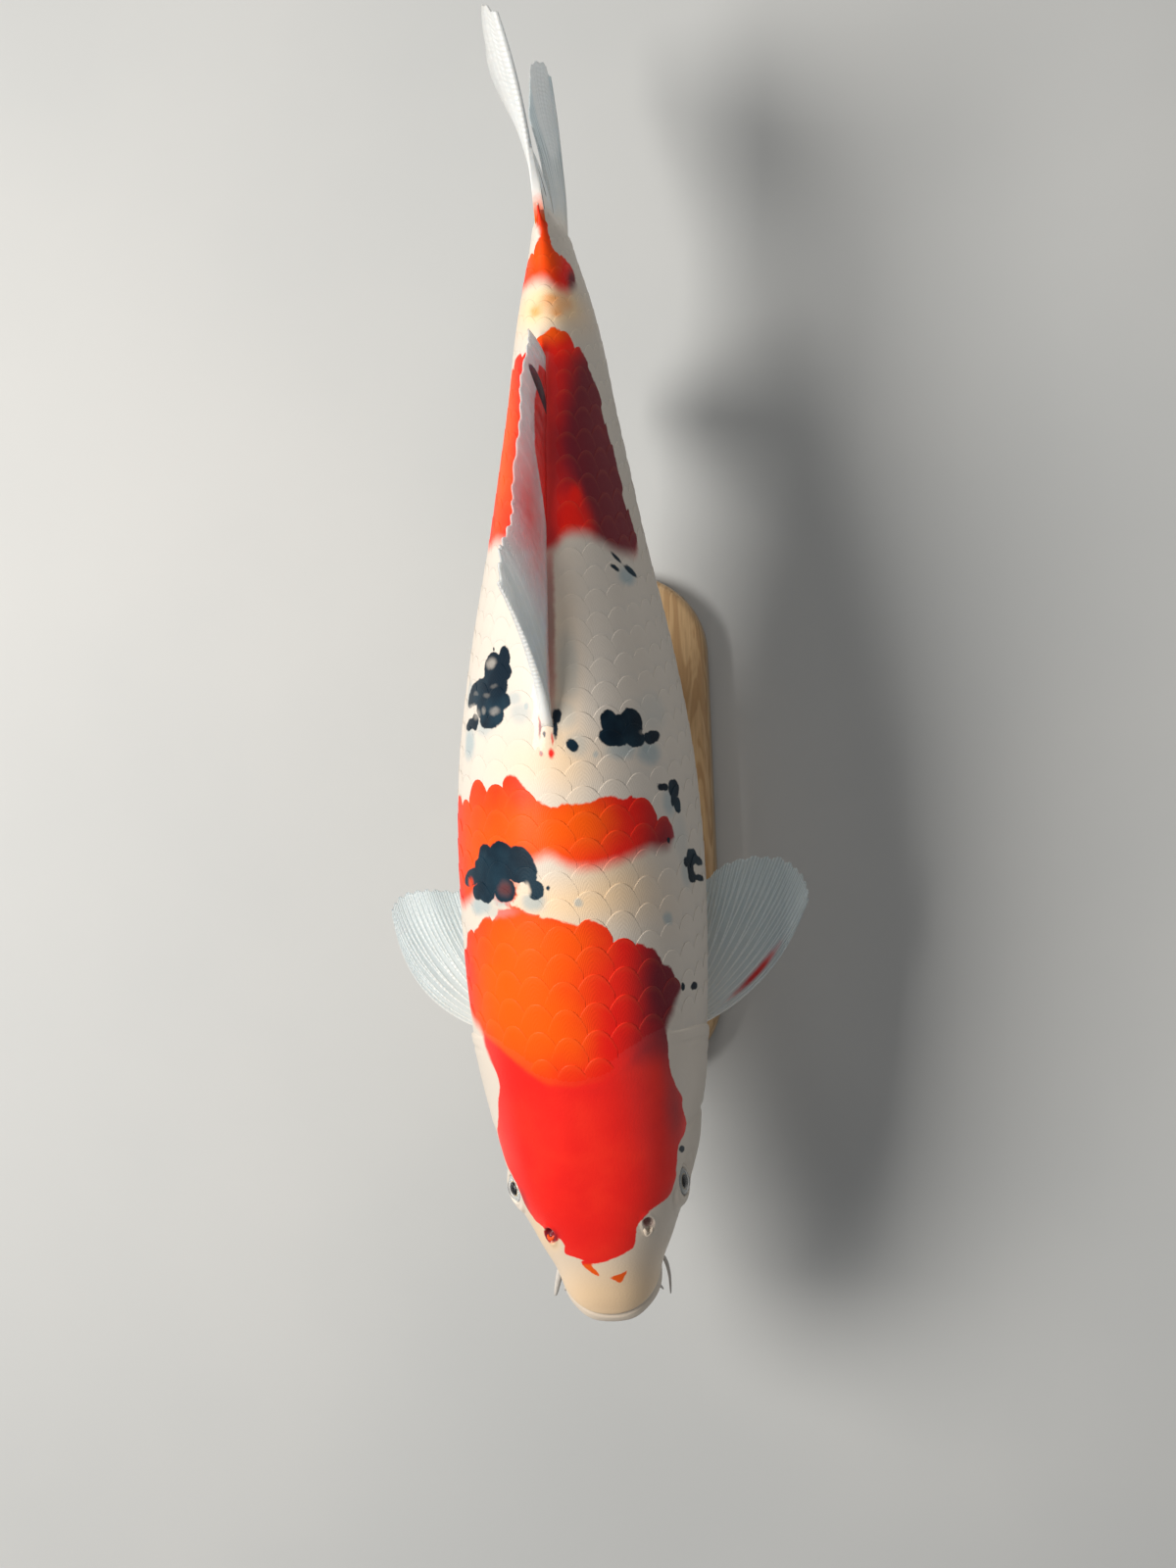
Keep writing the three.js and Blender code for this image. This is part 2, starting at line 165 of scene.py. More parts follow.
VIEW_CENTRE = Vector((0.0045, -0.0526, AXIS_HEIGHT * MM))
VIEW_DISTANCE = 1.5
VIEW_TILT = math.radians(9)  # over the fish's left side
VIEW_LEAN = math.radians(2.53)  # the picture's upright against the fish's length
camera_data = bpy.data.cameras.new("camera")
camera_data.sensor_fit = "VERTICAL"
camera_data.sensor_height = 36
camera_data.lens = 69.8
camera = bpy.data.objects.new("camera", camera_data)
forward = -Vector((math.sin(VIEW_TILT), 0, math.cos(VIEW_TILT)))
rightward = forward.cross(Vector((math.sin(VIEW_LEAN), math.cos(VIEW_LEAN), 0))).normalized()
turn = Matrix((rightward, rightward.cross(forward), -forward)).transposed()
camera.matrix_world = Matrix.Translation(VIEW_CENTRE - forward * VIEW_DISTANCE) @ turn.to_4x4()
bpy.context.scene.collection.objects.link(camera)
bpy.context.scene.camera = camera


# ---- the body's form ----
# The flesh is one loft through these cross-sections, as the solids are: distance from the snout, half
# the width, back and belly from the axis, height of the widest line, and how square it is above and below.
LANDMARKS = np.array([
    [0, 0, -17, -17, -17, 2, 2],
    [2, 10.5, -9.5, -23.5, -16.5, 2.1, 2.1],
    [8, 18, -2.5, -29, -17, 2.1, 2.1],
    [16, 23, 4.5, -33.5, -17, 2.1, 2.1],
    [30, 26.8, 14.5, -39.5, -11, 2.1, 2.15],
    [47, 34.4, 25, -46, -7, 2.2, 2.2],
    [66, 42.4, 34.5, -52, -6, 2.4, 2.2],
    [90, 49.2, 45, -58.5, -7, 2.4, 2.2],
    [118, 54, 55.5, -63.8, -7, 2.3, 2.2],
    [143, 57, 64, -67.5, -5, 2.2, 2.2],
    [180, 59.3, 73, -71, -2, 2.1, 2.2],
    [216, 60.2, 79, -73, 0, 2, 2.2],
    [250, 59.5, 83, -73.5, 2, 1.95, 2.15],
    [288, 56.5, 84.5, -73, 3, 1.9, 2.1],
    [336, 48.8, 80.5, -69.5, 3, 1.85, 2.05],
    [387, 38, 72, -62, 2, 1.85, 2],
    [419, 32, 64, -54, 1.5, 1.85, 2],
    [452, 26.2, 54.5, -44, 1, 1.85, 2],
    [480, 22, 46.5, -38, 1, 1.9, 2],
    [505, 16.9, 39, -34.5, 0.5, 1.95, 2],
    [528, 10.6, 35.5, -33, 0, 2, 2],
    [541, 7.2, 35, -33.5, 0, 2, 2],
    [550, 4, 35.5, -34.5, 0, 2, 2],
    [551, 0, 0, 0, 0, 2, 2],
])
END = LANDMARKS[-1, 0]


def share(values, t):
    """A smooth curve through evenly spaced values, or rows of them, read at 0 to 1 of its run."""
    values = np.asarray(values, float)
    u = np.asarray(t, float) * (len(values) - 1)
    i = np.clip(np.floor(u).astype(int), 0, len(values) - 2)
    f = (u - i)[..., None] if values.ndim > 1 else u - i
    a, b = values[np.maximum(i - 1, 0)], values[i]
    c, d = values[i + 1], values[np.minimum(i + 2, len(values) - 1)]
    square, cube = 2 * a - 5 * b + 4 * c - d, 3 * b - a - 3 * c + d
    return 0.5 * (2 * b + (c - a) * f + square * f * f + cube * f**3)


RUN = np.linspace(0, 1, 24001)
DISTANCE_ON_RUN = np.maximum.accumulate(share(LANDMARKS, RUN)[:, 0])


def section(at):
    return share(LANDMARKS, np.interp(at, DISTANCE_ON_RUN, RUN))


def ease(low, high, x):
    """0 before low, 1 after high, and smooth between them; low may be the greater."""
    t = np.clip((np.asarray(x, float) - low) / (high - low), 0, 1)
    return t * t * (3 - 2 * t)


def bend(at):
    """How far the middle plane is bent sideways: the head turns to the left, the tail to the right."""
    head = np.clip((100 - at) / 100, 0, None)
    tail = np.clip((at - 450) / 100, 0, None)
    return 3.2 * head * (2 - head) - 2 * tail**2


def place(at, across, height):
    """A point in millimetres from its distance from the snout, off the bent middle plane, and height."""
    at, across, height = np.broadcast_arrays(at, across, height)
    return np.stack([bend(at) + across, SNOUT_Y + at, AXIS_HEIGHT + height], -1)


def flesh(at, angle):
    """A point of the body's surface; the angle is 0 on the back and a right angle on the left side."""
    _, half, top, bottom, wide, upper, lower = np.moveaxis(section(at), -1, 0)
    across, up = np.sin(angle), np.cos(angle)
    power = 2 / np.where(up >= 0, upper, lower)
    reach = np.where(up >= 0, top - wide, wide - bottom)
    height = wide + np.sign(up) * reach * np.abs(up) ** power
    return place(at, half * np.sign(across) * np.abs(across) ** power, height)


def outward(point, u, v, step=1e-3):
    """The unit normal of a surface point(u, v) by small steps along both ways."""
    along = point(u + step, v) - point(u - step, v)
    beside = point(u, v + step) - point(u, v - step)
    normal = np.cross(beside, along)
    return normal / np.maximum(np.linalg.norm(normal, axis=-1, keepdims=True), 1e-12)


def flesh_normal(at, angle):
    inner = np.clip(at, 0.15, END - 0.15)
    return outward(flesh, inner, angle, 0.01)


# How far round the body each angle lies, so that scales and markings keep their size on the skin.
STEPS_ROUND = 241
ANGLES = np.linspace(0, math.pi, STEPS_ROUND)
STATIONS = np.arange(0, END + 0.5)
rings = flesh(STATIONS[:, None], ANGLES[None, :])
chords = np.linalg.norm(np.diff(rings[..., [0, 2]], axis=1), axis=-1)
GIRTHS = np.concatenate([np.zeros((len(STATIONS), 1)), np.cumsum(chords, 1)], 1)
SHARES = np.linspace(0, 1, STEPS_ROUND)
ANGLE_AT_SHARE = np.array([np.interp(SHARES * row[-1], row, ANGLES) for row in GIRTHS])


def looked_up(table, at, column):
    """A table with a row for each millimetre from the snout, read between its rows and columns."""
    at = np.clip(at, 0, len(table) - 1.001)
    column = np.clip(column, 0, table.shape[1] - 1.001)
    i, j = at.astype(int), column.astype(int)
    f, g = at - i, column - j
    upper = table[i, j] * (1 - g) + table[i, j + 1] * g
    lower = table[i + 1, j] * (1 - g) + table[i + 1, j + 1] * g
    return upper * (1 - f) + lower * f


def half_girth(at):
    return np.interp(at, STATIONS, GIRTHS[:, -1])


def girth_of(at, angle):
    """Signed millimetres round the body from the ridge of the back."""
    column = np.abs(angle) / math.pi * (STEPS_ROUND - 1)
    return np.sign(angle) * looked_up(GIRTHS, at, column)


def angle_of(at, part):
    """The angle at a signed part of the half girth, 0 on the back and 1 on the belly line."""
    folded = (part + 1) % 2 - 1
    return np.sign(folded) * looked_up(ANGLE_AT_SHARE, at, np.abs(folded) * (STEPS_ROUND - 1))


# ---- the markings ----
# Pigment in the skin: hi, the red, and sumi, the black. Each patch is a closed outline of points, from
# the snout and round the body from the back's ridge, in millimetres; the left side is positive.
HI = [
    # over the head and shoulders
    [[48, -25], [47, -21], [46, -18.6], [42, -17.3], [38.5, -18.3], [37.2, -15], [36, -11], [34.2, -7],
     [33, -4], [33.6, 0], [35, 5], [37, 10], [39, 14.5], [41, 17.6], [45, 19.3], [50, 20.6], [54, 22.3],
     [57, 25.5], [60, 30], [64, 38], [68, 43.5], [75, 47], [85, 50], [91, 52.7], [95, 57], [99.5, 61],
     [104, 60.5], [109, 58.6], [114, 59.4], [118, 57], [121, 54.8], [130, 51.6], [140, 51.5], [149, 51.5],
     [158, 58], [165, 62], [170, 63.5], [175, 61], [179.5, 58], [181, 53], [186, 50], [189, 46], [191, 40],
     [194.5, 30], [199, 20], [203, 10], [204, 4], [207, -5], [208, -13], [212, -22], [210, -33],
     [206, -38], [205, -45], [200, -52], [194, -70], [186, -84], [168, -84], [157, -72], [152, -58],
     [148, -54], [141, -51.4], [131, -45], [123, -43.7], [115, -48.5], [110, -50.5], [104, -54],
     [96, -59], [88, -57], [81, -50], [73, -43], [64, -40.4], [56, -35], [53, -30.5], [51, -27.5]],
    # the sliver and the small triangle on the snout
    [[34.4, -10], [31.4, -8.2], [28.4, -5], [25.8, -1.2], [27.8, -2], [30, -3.2], [32, -4.4], [34.4, -5]],
    [[29.2, 13], [26, 10.8], [22.2, 8.2], [23.6, 5.6], [25.4, 3.2], [26.3, 6.4], [27, 9.4]],
    # the band ahead of the back fin
    [[262, -80], [261, -60], [268, -53], [270, -48], [268, -38], [269, -30], [273, -23], [273, -18],
     [268, -13], [262, -7], [257, 0], [259, 5], [259, 17], [262, 24], [262, 30], [260, 36], [262, 40],
     [262, 46], [258, 51], [251, 56], [250, 61], [245, 66], [240, 68], [236, 64], [235, 56], [236, 51],
     [233, 40], [230, 29], [228, 18], [229, 8], [233, 1], [235, -4], [232, -12], [226, -30], [222, -45],
     [214, -60], [212, -80], [222, -98], [240, -104], [254, -98]],
    # the saddle under the back fin
    [[485, 0], [488, 4], [487, 9], [483, 16], [476, 21], [467, 30], [457, 38], [445, 43], [432, 48],
     [421, 52], [412, 56], [404, 60], [396, 64], [386, 68], [378, 65], [377, 52], [379, 40], [383, 30],
     [386, 20], [385, 11], [380, 6], [377, 2], [378, -6], [383, -20], [386, -38], [384, -56], [392, -66],
     [410, -62], [430, -56], [450, -47], [464, -37], [473, -26], [476, -14], [480, -6]],
    # the patch on the tail stalk
    [[548, 1], [548, 4.5], [538.5, 5.8], [532.7, 6.1], [527.6, 7], [525, 11.3], [521.4, 20], [517, 25],
     [512, 25.5], [508.5, 20.5], [505.5, 14], [506, 8], [509, 4], [511.2, 0], [510.6, -8], [509.5, -18],
     [510, -30], [516, -30], [521.5, -20], [524.5, -9.5], [527.6, -3.6], [531, -0.5], [534, -0.4],
     [538, -1.6], [543, -2.2]],
]
# Sumi as lobes that run together: distance from the snout, place round, half sizes, and how far turned.
SUMI = [
    (234.8, -40.6, 6.2, 6.2, 0), (228, -44.5, 7, 7.6, -20), (234.5, -29.5, 7.6, 9, 0),
    (231, -18.6, 9, 8.2, -20), (230, -27, 6, 10, 0), (227, -13, 6.4, 4.2, 0), (218.6, -10.2, 4.6, 4.4, 0),
    (225.4, -55, 4.2, 12, -12),
    (220.6, -42, 7.6, 8.4, 0), (218, -49.5, 4, 5.4, 0), (228, -34, 7.6, 8, 0), (219.6, -4, 1.1, 0.8, 0),
    (219, -28, 6, 7, 0),
    (328.4, -24, 5.6, 4.3, 0), (321.8, -23.4, 4.8, 4.6, 0), (324, -29, 6.4, 6.4, 0),
    (324, -33.6, 7.6, 8.4, -25), (315.2, -34, 7.4, 13, -6), (313.2, -51, 5.8, 15.6, -15),
    (308, -26, 4.7, 6.4, 0), (306.4, -38.5, 6.6, 11, 0), (299.8, -35, 4.5, 9.6, 0), (302, -30.4, 5, 6.2, 0),
    (298.6, -57, 2.8, 9, -8), (299.4, -51, 4, 5, 0), (333, -32.5, 0.8, 0.8, 0),
    (296.2, 30.4, 5.4, 4.9, 0), (294.8, 43.6, 7.4, 8.4, 0), (289.6, 34, 5.2, 9.6, 0),
    (288.3, 58.6, 3.3, 6.6, -8), (287.8, 46, 3.9, 7, 0), (295, 36.6, 4.6, 4.8, 0),
    (264.6, 63.6, 2, 4.6, 0), (263.6, 73.6, 4.5, 5.6, 0), (255.6, 75.8, 4, 3.4, 0),
    (259.6, 72.6, 5, 3, 20), (230, 88, 4.2, 7.6, 0), (228, 80.4, 2.6, 3.6, 0), (220.4, 86.6, 3.2, 5, 0),
    (224.6, 84.6, 5, 4, 0), (227.6, 98, 2.2, 9, 8), (219.4, 98, 1.8, 9, 4),
    (374.6, 43, 4.6, 1.0, -59), (369.6, 41, 3.3, 1.2, -70), (368.6, 55, 6.4, 1.7, -68),
    (422, -60.5, 3.6, 2, 0), (168, 67.5, 1.9, 1.9, 0), (167.6, 80, 1.9, 4.6, 0), (285.8, 11.2, 3.5, 2.4, -36),
    (299.8, 4.6, 3.4, 1.9, 0), (295.5, 3.4, 6, 1.0, 0), (291.7, -1.8, 1.2, 0.6, 0), (88.8, 55, 1.8, 2.4, 0),
    (239, 64.5, 1.6, 1.4, 0),
]
# Blue-grey haze round the black, and gaps where it thins out, in the same form with an amount for each. The
# long faint haze beside the back fin's root is partly painted shadow of the fin.
HAZES = [
    (211.5, -47, 6, 14, 0.62), (213, -12, 6, 8.5, 0.6), (214, -30, 5, 10, 0.5), (289, -58, 10, 10, 0.6),
    (296, -40, 5, 10, 0.45), (302, -14, 6, 7, 0.4), (304.8, -10.5, 2.6, 1.9, 0.65), (309, -17, 4, 5, 0.4),
    (281, 55, 7, 11, 0.62), (283, 37, 6, 11, 0.5), (281, 22.5, 2.2, 1.8, 0.45), (257, 68, 8, 7, 0.55),
    (366, 51, 5.6, 10, 0.6), (202, 59, 3.8, 4.4, 0.6), (212, 9.8, 2.6, 2.6, 0.6), (300, 8, 9, 7, 0.4),
    (286, 13, 7, 7, 0.35), (283, -4, 1.2, 0.9, 0.6), (224, 80, 10, 8, 0.45), (209, -36, 4, 18, 0.35),
    # the first haze here is partly the back fin's painted shadow on the fish's left side
    (322, 10, 24, 7, 0.3), (313, -63, 8, 8, 0.4), (300, 60, 12, 16, 0.2), (240, 76, 14, 10, 0.2),
]
GAPS = [
    (219.6, -28, 5, 5.6, 0.11), (219, -14.6, 4.4, 2, 0.85), (222.5, -57.5, 3.6, 4.2, 0.7),
    (215, -19.5, 4, 3.4, 0.6), (326.6, -35, 3.2, 6, 0.45), (303, -49, 3.2, 5.6, 0.3),
    (303.6, -31, 2.6, 5, 0.3), (311.6, -38.5, 1.4, 4, 0.14), (315.5, -32, 1.4, 4, 0.12),
    (313, -52, 1.4, 4.4, 0.14), (304.4, -41, 2.2, 2.4, 0.25), (223, 92, 1.8, 3.6, 0.4),
    (291, 51, 1.6, 3, 0.2), (306, -56, 2.6, 8, 0.42),
]
# Small touches of red by the back fin's root, and in the left nostril, where with the maroon they paint the
# shade in its pit brown, in the same form.
TOUCHES = [
    (345, 2.6, 52, 2.8, 0.65), (295, -3.9, 6.5, 0.9, 0.9), (289, 2, 3.6, 0.7, 0.8), (282.4, 1.1, 3, 1.6, 1.0),
    (282.8, -4, 1.4, 1.2, 0.7), (53, 27.4, 2.9, 3.6, 0.8), (291.6, -1.6, 1.4, 0.9, 0.8),
]
# Where the head's bare skin gives way to scales: place round the body, then distance from the snout.
HEAD_EDGE = np.array([
    [0, 121.5], [14, 123.5], [27, 133], [38, 141], [52, 147], [78, 148], [104, 147], [127, 140.5],
    [145, 125], [160, 108], [185, 100],
])
FAR = 14.0  # depth given to every place that lies farther than this from a patch
UNMARKED, NOWHERE = -9.0, -99.0  # a depth outside every patch, and a place along that no marking reaches


def rounded(points, steps=5):
    """A closed outline drawn smoothly through its points."""
    points = np.asarray(points, float)
    ringed = np.concatenate([points[-1:], points, points[:2]])
    run = np.linspace(1, len(points) + 1, steps * len(points), endpoint=False) / (len(ringed) - 1)
    return share(ringed, run)


def depth_in(outline, at, girth):
    """Millimetres inside a closed outline, negative outside it."""
    depth = np.full(at.shape, -FAR)
    low, high = outline.min(0) - FAR, outline.max(0) + FAR
    near = np.flatnonzero((at > low[0]) & (at < high[0]) & (girth > low[1]) & (girth < high[1]))
    for some in np.array_split(near, len(near) // 20000 + 1):
        p = np.stack([at[some], girth[some]], -1)[:, None]
        start, end = outline[None], np.roll(outline, -1, 0)[None]
        edge = end - start
        t = np.clip(((p - start) * edge).sum(-1) / (edge**2).sum(-1), 0, 1)
        gap = np.linalg.norm(p - start - edge * t[..., None], axis=-1).min(1)
        spans = (start[..., 1] > p[..., 1]) != (end[..., 1] > p[..., 1])
        rise = np.where(edge[..., 1] == 0, 1, edge[..., 1])
        crossing = start[..., 0] + (p[..., 1] - start[..., 1]) / rise * edge[..., 0]
        inside = ((spans & (p[..., 0] < crossing)).sum(1) % 2).astype(bool)
        depth[some] = np.clip(np.where(inside, gap, -gap), -FAR, FAR)
    return depth


HI_OUTLINES = [rounded(points) for points in HI]


def head_edge(girth):
    """How far from the snout the head's bare skin ends."""
    return np.interp(np.abs(girth), HEAD_EDGE[:, 0], HEAD_EDGE[:, 1])


def depths(outlines, at, girth):
    return np.max([depth_in(outline, at, girth) for outline in outlines], 0)


def blob(at, girth, centre, radius):
    """A soft round spot, 1 in its middle."""
    return np.exp(-(((at - centre[0]) / radius[0]) ** 2) - ((girth - centre[1]) / radius[1]) ** 2)


# Where the red turns to orange, or with a minus to maroon and painted shade: centre, radii along and round,
# and amount.
# The minus blots on the fish's left side, which faces away from the key lamp, are painted shade: over the
# head, nape, shoulder, band, saddle and tail stalk, and along the back fin's root. The dark in each nostril's
# pit is painted shade too.
TINTS_AND_SHADE = [
    ((168, -30), (44, 40), 0.95), ((150, 4), (36, 26), 0.25), ((196, 12), (14, 40), 0.35),
    ((245, -40), (30, 55), 0.65), ((250, 12), (16, 30), 0.6), ((392, 17), (14, 12), 0.7),
    ((484, 4), (8, 18), 0.9), ((398, 60), (22, 20), -1.2), ((430, -38), (60, 24), 0.75),
    ((522, 0), (20, 30), 0.7), ((511, 22), (8, 8), -1.3), ((335, 2), (50, 8), -0.8),
    ((219.5, -28), (7, 7), 0.6), ((430, 34), (62, 28), -1.45), ((236, 60), (34, 22), -0.8),
    ((405, 17), (5, 4), 0.6), ((170, 58), (36, 27), -1.15), ((141, 34), (10, 16), -0.3),
    ((112, 53), (24, 8), -0.45), ((47.5, -25), (3.6, 4.4), -1.5), ((53.4, 27.6), (4, 4), -1.4),
    ((64, -40), (10, 5), -0.5), ((291.6, -1.6), (3, 2), -1.5), ((295, -4), (6, 1.6), -0.6),
]
SNOUT_TINT = ((27, 0), (9, 17))  # where the red on the snout is orange
# Warmer cream in the white, in the same form; past 1 the cream turns to orange.
WARM = [
    ((10, 0), (26, 60), 1.1), ((211, 4), (12, 40), 0.9), ((497, 0), (11, 30), 1.15),
    ((278, 0), (14, 30), 0.5), ((502, 4), (4, 7), 0.8), ((495, -5), (3, 4), 0.8), ((494, 7), (3, 4), 0.7),
    ((500, 15), (6, 6), 0.6), ((50, -34), (14, 10), 0.8), ((45, -24), (5, 5), 0.8),
    ((310, 8), (50, 9), 0.55), ((225, 30), (14, 20), 0.6),
]
# Places that are red under the black, which makes them brown, and in the right nostril, where the dark brown
# in its pit is painted shade.
BROWN_AND_PIT_SHADE = [((219.5, -28), (7, 7.6)), ((47.4, -25), (3.4, 4.6))]


def blobs(table, at, girth):
    """The sum of a table of blobs, each times its amount."""
    return np.sum([amount * blob(at, girth, *where) for *where, amount in table], 0)


def markings(at, girth, own_at=None, own_girth=None):
    """The pigment values at places on the skin. A scale passes the middle of its bare part as its own
    place, which decides part of its colour, so that a patch ends on the scales' rounded edges."""
    depth = depths(HI_OUTLINES, at, girth)
    blur = (depths(HI_OUTLINES, at + 3, girth) - depths(HI_OUTLINES, at - 3, girth)) / 6
    blur = np.clip(blur, 0, 1) * ease(125, 150, at)
    if own_at is not None:
        own = depths(HI_OUTLINES, own_at, own_girth)
        depth = depth + 0.4 * (own - depth) * ease(0.6, 0.2, blur)
    # Red under the black, and in the right nostril's pit as painted shade.
    brown = np.max([blob(at, girth, *where) for where in BROWN_AND_PIT_SHADE], 0)
    depth = np.maximum(depth, np.where(brown > 0.1, 3 * brown - 1.0, -FAR))
    past_head = ease(-1.0, 3.5, at - head_edge(girth))
    # Below zero the tint paints maroon: partly a real darker red, partly painted shade.
    tint = blobs([row for row in TINTS_AND_SHADE if row[-1] > 0], at, girth) * past_head
    tint = tint + blobs([row for row in TINTS_AND_SHADE if row[-1] < 0], at, girth)
    tint = tint + 2 * blob(at, girth, *SNOUT_TINT) * ease(33.4, 32.6, at)
    return {"along": at, "round": girth, "hi": depth, "hi_blur": blur, "tint": np.clip(tint, -1, 1),
            "warm": np.clip(blobs(WARM, at, girth), 0, 2)}


def carry(piece, values):
    """Keeps values on a piece's vertices for its material to read: a number for each, or one for all."""
    for name, numbers in values.items():
        layer = piece.data.attributes.new(name, "FLOAT", "POINT")
        layer.data.foreach_set("value", np.full(len(piece.data.vertices), numbers, np.float32))


# The pigments as one node group, which the skin, the scales and the fins share.
pigment = bpy.data.node_groups.new("koi_pigment", "ShaderNodeTree")
PIGMENT_INPUTS = ["Along", "Round", "Hi", "Hi Blur", "Sumi", "Tint", "Warm", "Rim"]
PIGMENT_SOCKETS = [(name, "INPUT", "Float") for name in PIGMENT_INPUTS]
PIGMENT_SOCKETS += [("Ground", "INPUT", "Color"), ("Color", "OUTPUT", "Color"), ("Red", "OUTPUT", "Float"),
                    ("Black", "OUTPUT", "Float")]
for name, way, kind in PIGMENT_SOCKETS:
    pigment.interface.new_socket(name, in_out=way, socket_type="NodeSocket" + kind)
given = pigment.nodes.new("NodeGroupInput").outputs
spot = places(pigment)
ragged = maths(pigment, "SUBTRACT", noise(pigment, spot, 210, 2.0, 0.5), 0.5)
fine = maths(pigment, "SUBTRACT", noise(pigment, spot, 800, 1.0), 0.5)
cloud = noise(pigment, spot, 38, 3.0, 0.55)
wobbled = {"X": maths(pigment, "MULTIPLY_ADD", ragged, 2.2, given["Along"]),
           "Y": maths(pigment, "MULTIPLY_ADD", ragged, -2.2, given["Round"])}
on_skin = put(pigment, "ShaderNodeCombineXYZ", wobbled).outputs[0]


def reach_of(at, girth, along, beside, turn=0):
    """How far out of a turned oval a place on the skin lies: 0 in its middle, 1 on its edge."""
    local = on_skin
    if turn:
        sockets = {"Vector": on_skin, "Center": (at, girth, 0), "Angle": -math.radians(turn)}
        local = put(pigment, "ShaderNodeVectorRotate", sockets, rotation_type="Z_AXIS").outputs[0]
    sockets = {0: local, 1: (1 / along, 1 / beside, 0), 2: (-at / along, -girth / beside, 0)}
    local = put(pigment, "ShaderNodeVectorMath", sockets, operation="MULTIPLY_ADD").outputs[0]
    return put(pigment, "ShaderNodeVectorMath", {0: local}, operation="LENGTH").outputs["Value"]


def strongest(ovals):
    """The largest of the amounts of soft ovals, each fading from its middle to its edge."""
    found = 0.0
    for *oval, amount in ovals:
        found = maths(pigment, "MAXIMUM", found, eased(pigment, reach_of(*oval), 1.15, 0.35, 0.0, amount))
    return found


# The places round the body jump from one side's to the other's at the belly line, where the ovals of the
# back would show as a thin stripe, so below the flanks they are left out.
height = put(pigment, "ShaderNodeSeparateXYZ", {0: spot}).outputs["Z"]
back_only = eased(pigment, height, 0.098, 0.102)
lobes = given["Sumi"]
for at, girth, along, beside, turn in SUMI:
    size = min(along, beside)
    inside = maths(pigment, "MULTIPLY_ADD", reach_of(at, girth, along, beside, turn), -size, size)
    lobes = put(pigment, "ShaderNodeMath", {0: lobes, 1: inside, 2: 0.5}, operation="SMOOTH_MAX").outputs[0]
lobes = maths(pigment, "MULTIPLY_ADD", fine, 0.5, lobes)
haze = maths(pigment, "MULTIPLY", strongest(HAZES), maths(pigment, "MULTIPLY_ADD", cloud, 0.9, 0.5))
haze = maths(pigment, "MULTIPLY", haze, back_only)
solid = maths(pigment, "SUBTRACT", 1.0, strongest(GAPS))
black_mask = maths(pigment, "MULTIPLY", eased(pigment, lobes, -0.45, 0.35), solid)
black_mask = maths(pigment, "MULTIPLY", black_mask, back_only)

rough = maths(pigment, "MULTIPLY_ADD", ragged, 1.6, given["Hi"])
rough = maths(pigment, "MULTIPLY_ADD", fine, 0.4, rough)
width = maths(pigment, "MULTIPLY_ADD", given["Hi Blur"], 4.4, 0.35)
red_mask = eased(pigment, maths(pigment, "DIVIDE", rough, width), -1.0, 1.0)
red_mask = maths(pigment, "MAXIMUM", red_mask, strongest(TOUCHES))

# Tint below zero draws the red to a dark maroon: partly a real darker red, partly painted shade on the side
# away from the key lamp and in the nostrils' pits.
mottle_tint_and_shade = maths(pigment, "MULTIPLY_ADD", maths(pigment, "SUBTRACT", cloud, 0.5), 0.5, given["Tint"])
DEEP_RED, BRIGHT_RED = (0.93, 0.016, 0.010, 1), (0.98, 0.024, 0.012, 1)
ORANGE, MAROON_AND_SHADE, EDGE_ORANGE = (0.96, 0.112, 0.002, 1), (0.20, 0.017, 0.030, 1), (1.0, 0.30, 0.09, 1)
WARM_CREAM, PALE_ORANGE, EDGE_CREAM = (0.94, 0.69, 0.44, 1), (0.95, 0.40, 0.12, 1), (0.93, 0.88, 0.80, 1)
BLUE_GREY, INK, PALE_INK = (0.27, 0.42, 0.49, 1), (0.003, 0.013, 0.026, 1), (0.010, 0.034, 0.056, 1)
red = blend_of(pigment, eased(pigment, cloud, 0.35, 0.7), DEEP_RED, BRIGHT_RED)
red = blend_of(pigment, eased(pigment, mottle_tint_and_shade, 0.0, 1.0), red, ORANGE)
red = blend_of(pigment, eased(pigment, mottle_tint_and_shade, 0.0, -1.0), red, MAROON_AND_SHADE)
edge_red = blend_of(pigment, 0.5, red, EDGE_ORANGE)
red = blend_of(pigment, maths(pigment, "MULTIPLY", given["Rim"], 0.09), red, edge_red)
ground = blend_of(pigment, given["Warm"], given["Ground"], WARM_CREAM)
ground = blend_of(pigment, eased(pigment, given["Warm"], 1.0, 2.0), ground, PALE_ORANGE)
ground = blend_of(pigment, maths(pigment, "MULTIPLY", given["Rim"], 0.05), ground, EDGE_CREAM)
painted = blend_of(pigment, red_mask, ground, red)
painted = blend_of(pigment, haze, painted, BLUE_GREY)
inky = blend_of(pigment, eased(pigment, cloud, 0.4, 0.65), INK, PALE_INK)
painted = blend_of(pigment, black_mask, painted, inky)
put(pigment, "NodeGroupOutput", {"Color": painted, "Red": red_mask, "Black": black_mask})


def pigmented(tree, ground, **fixed):
    """Places the pigments in a material, which reads each value that isn't fixed from the mesh."""
    sockets = {name: reading(tree, name.lower().replace(" ", "_")) for name in PIGMENT_INPUTS}
    sockets.update(fixed, Ground=ground)
    return put(tree, "ShaderNodeGroup", sockets, node_tree=pigment).outputs


# ---- the skin ----
# One closed hide over head, jaw, gill covers, trunk and tail stalk: smooth and wet on the head, and
# under the scales behind it. Lips, nostrils, eyelids, cheeks and the gill covers' edges are its folds.
EYE_AT, EYE_APEX, EYE_RADIUS, EYE_RISE = 70.5, 45.4, 9.5, 3
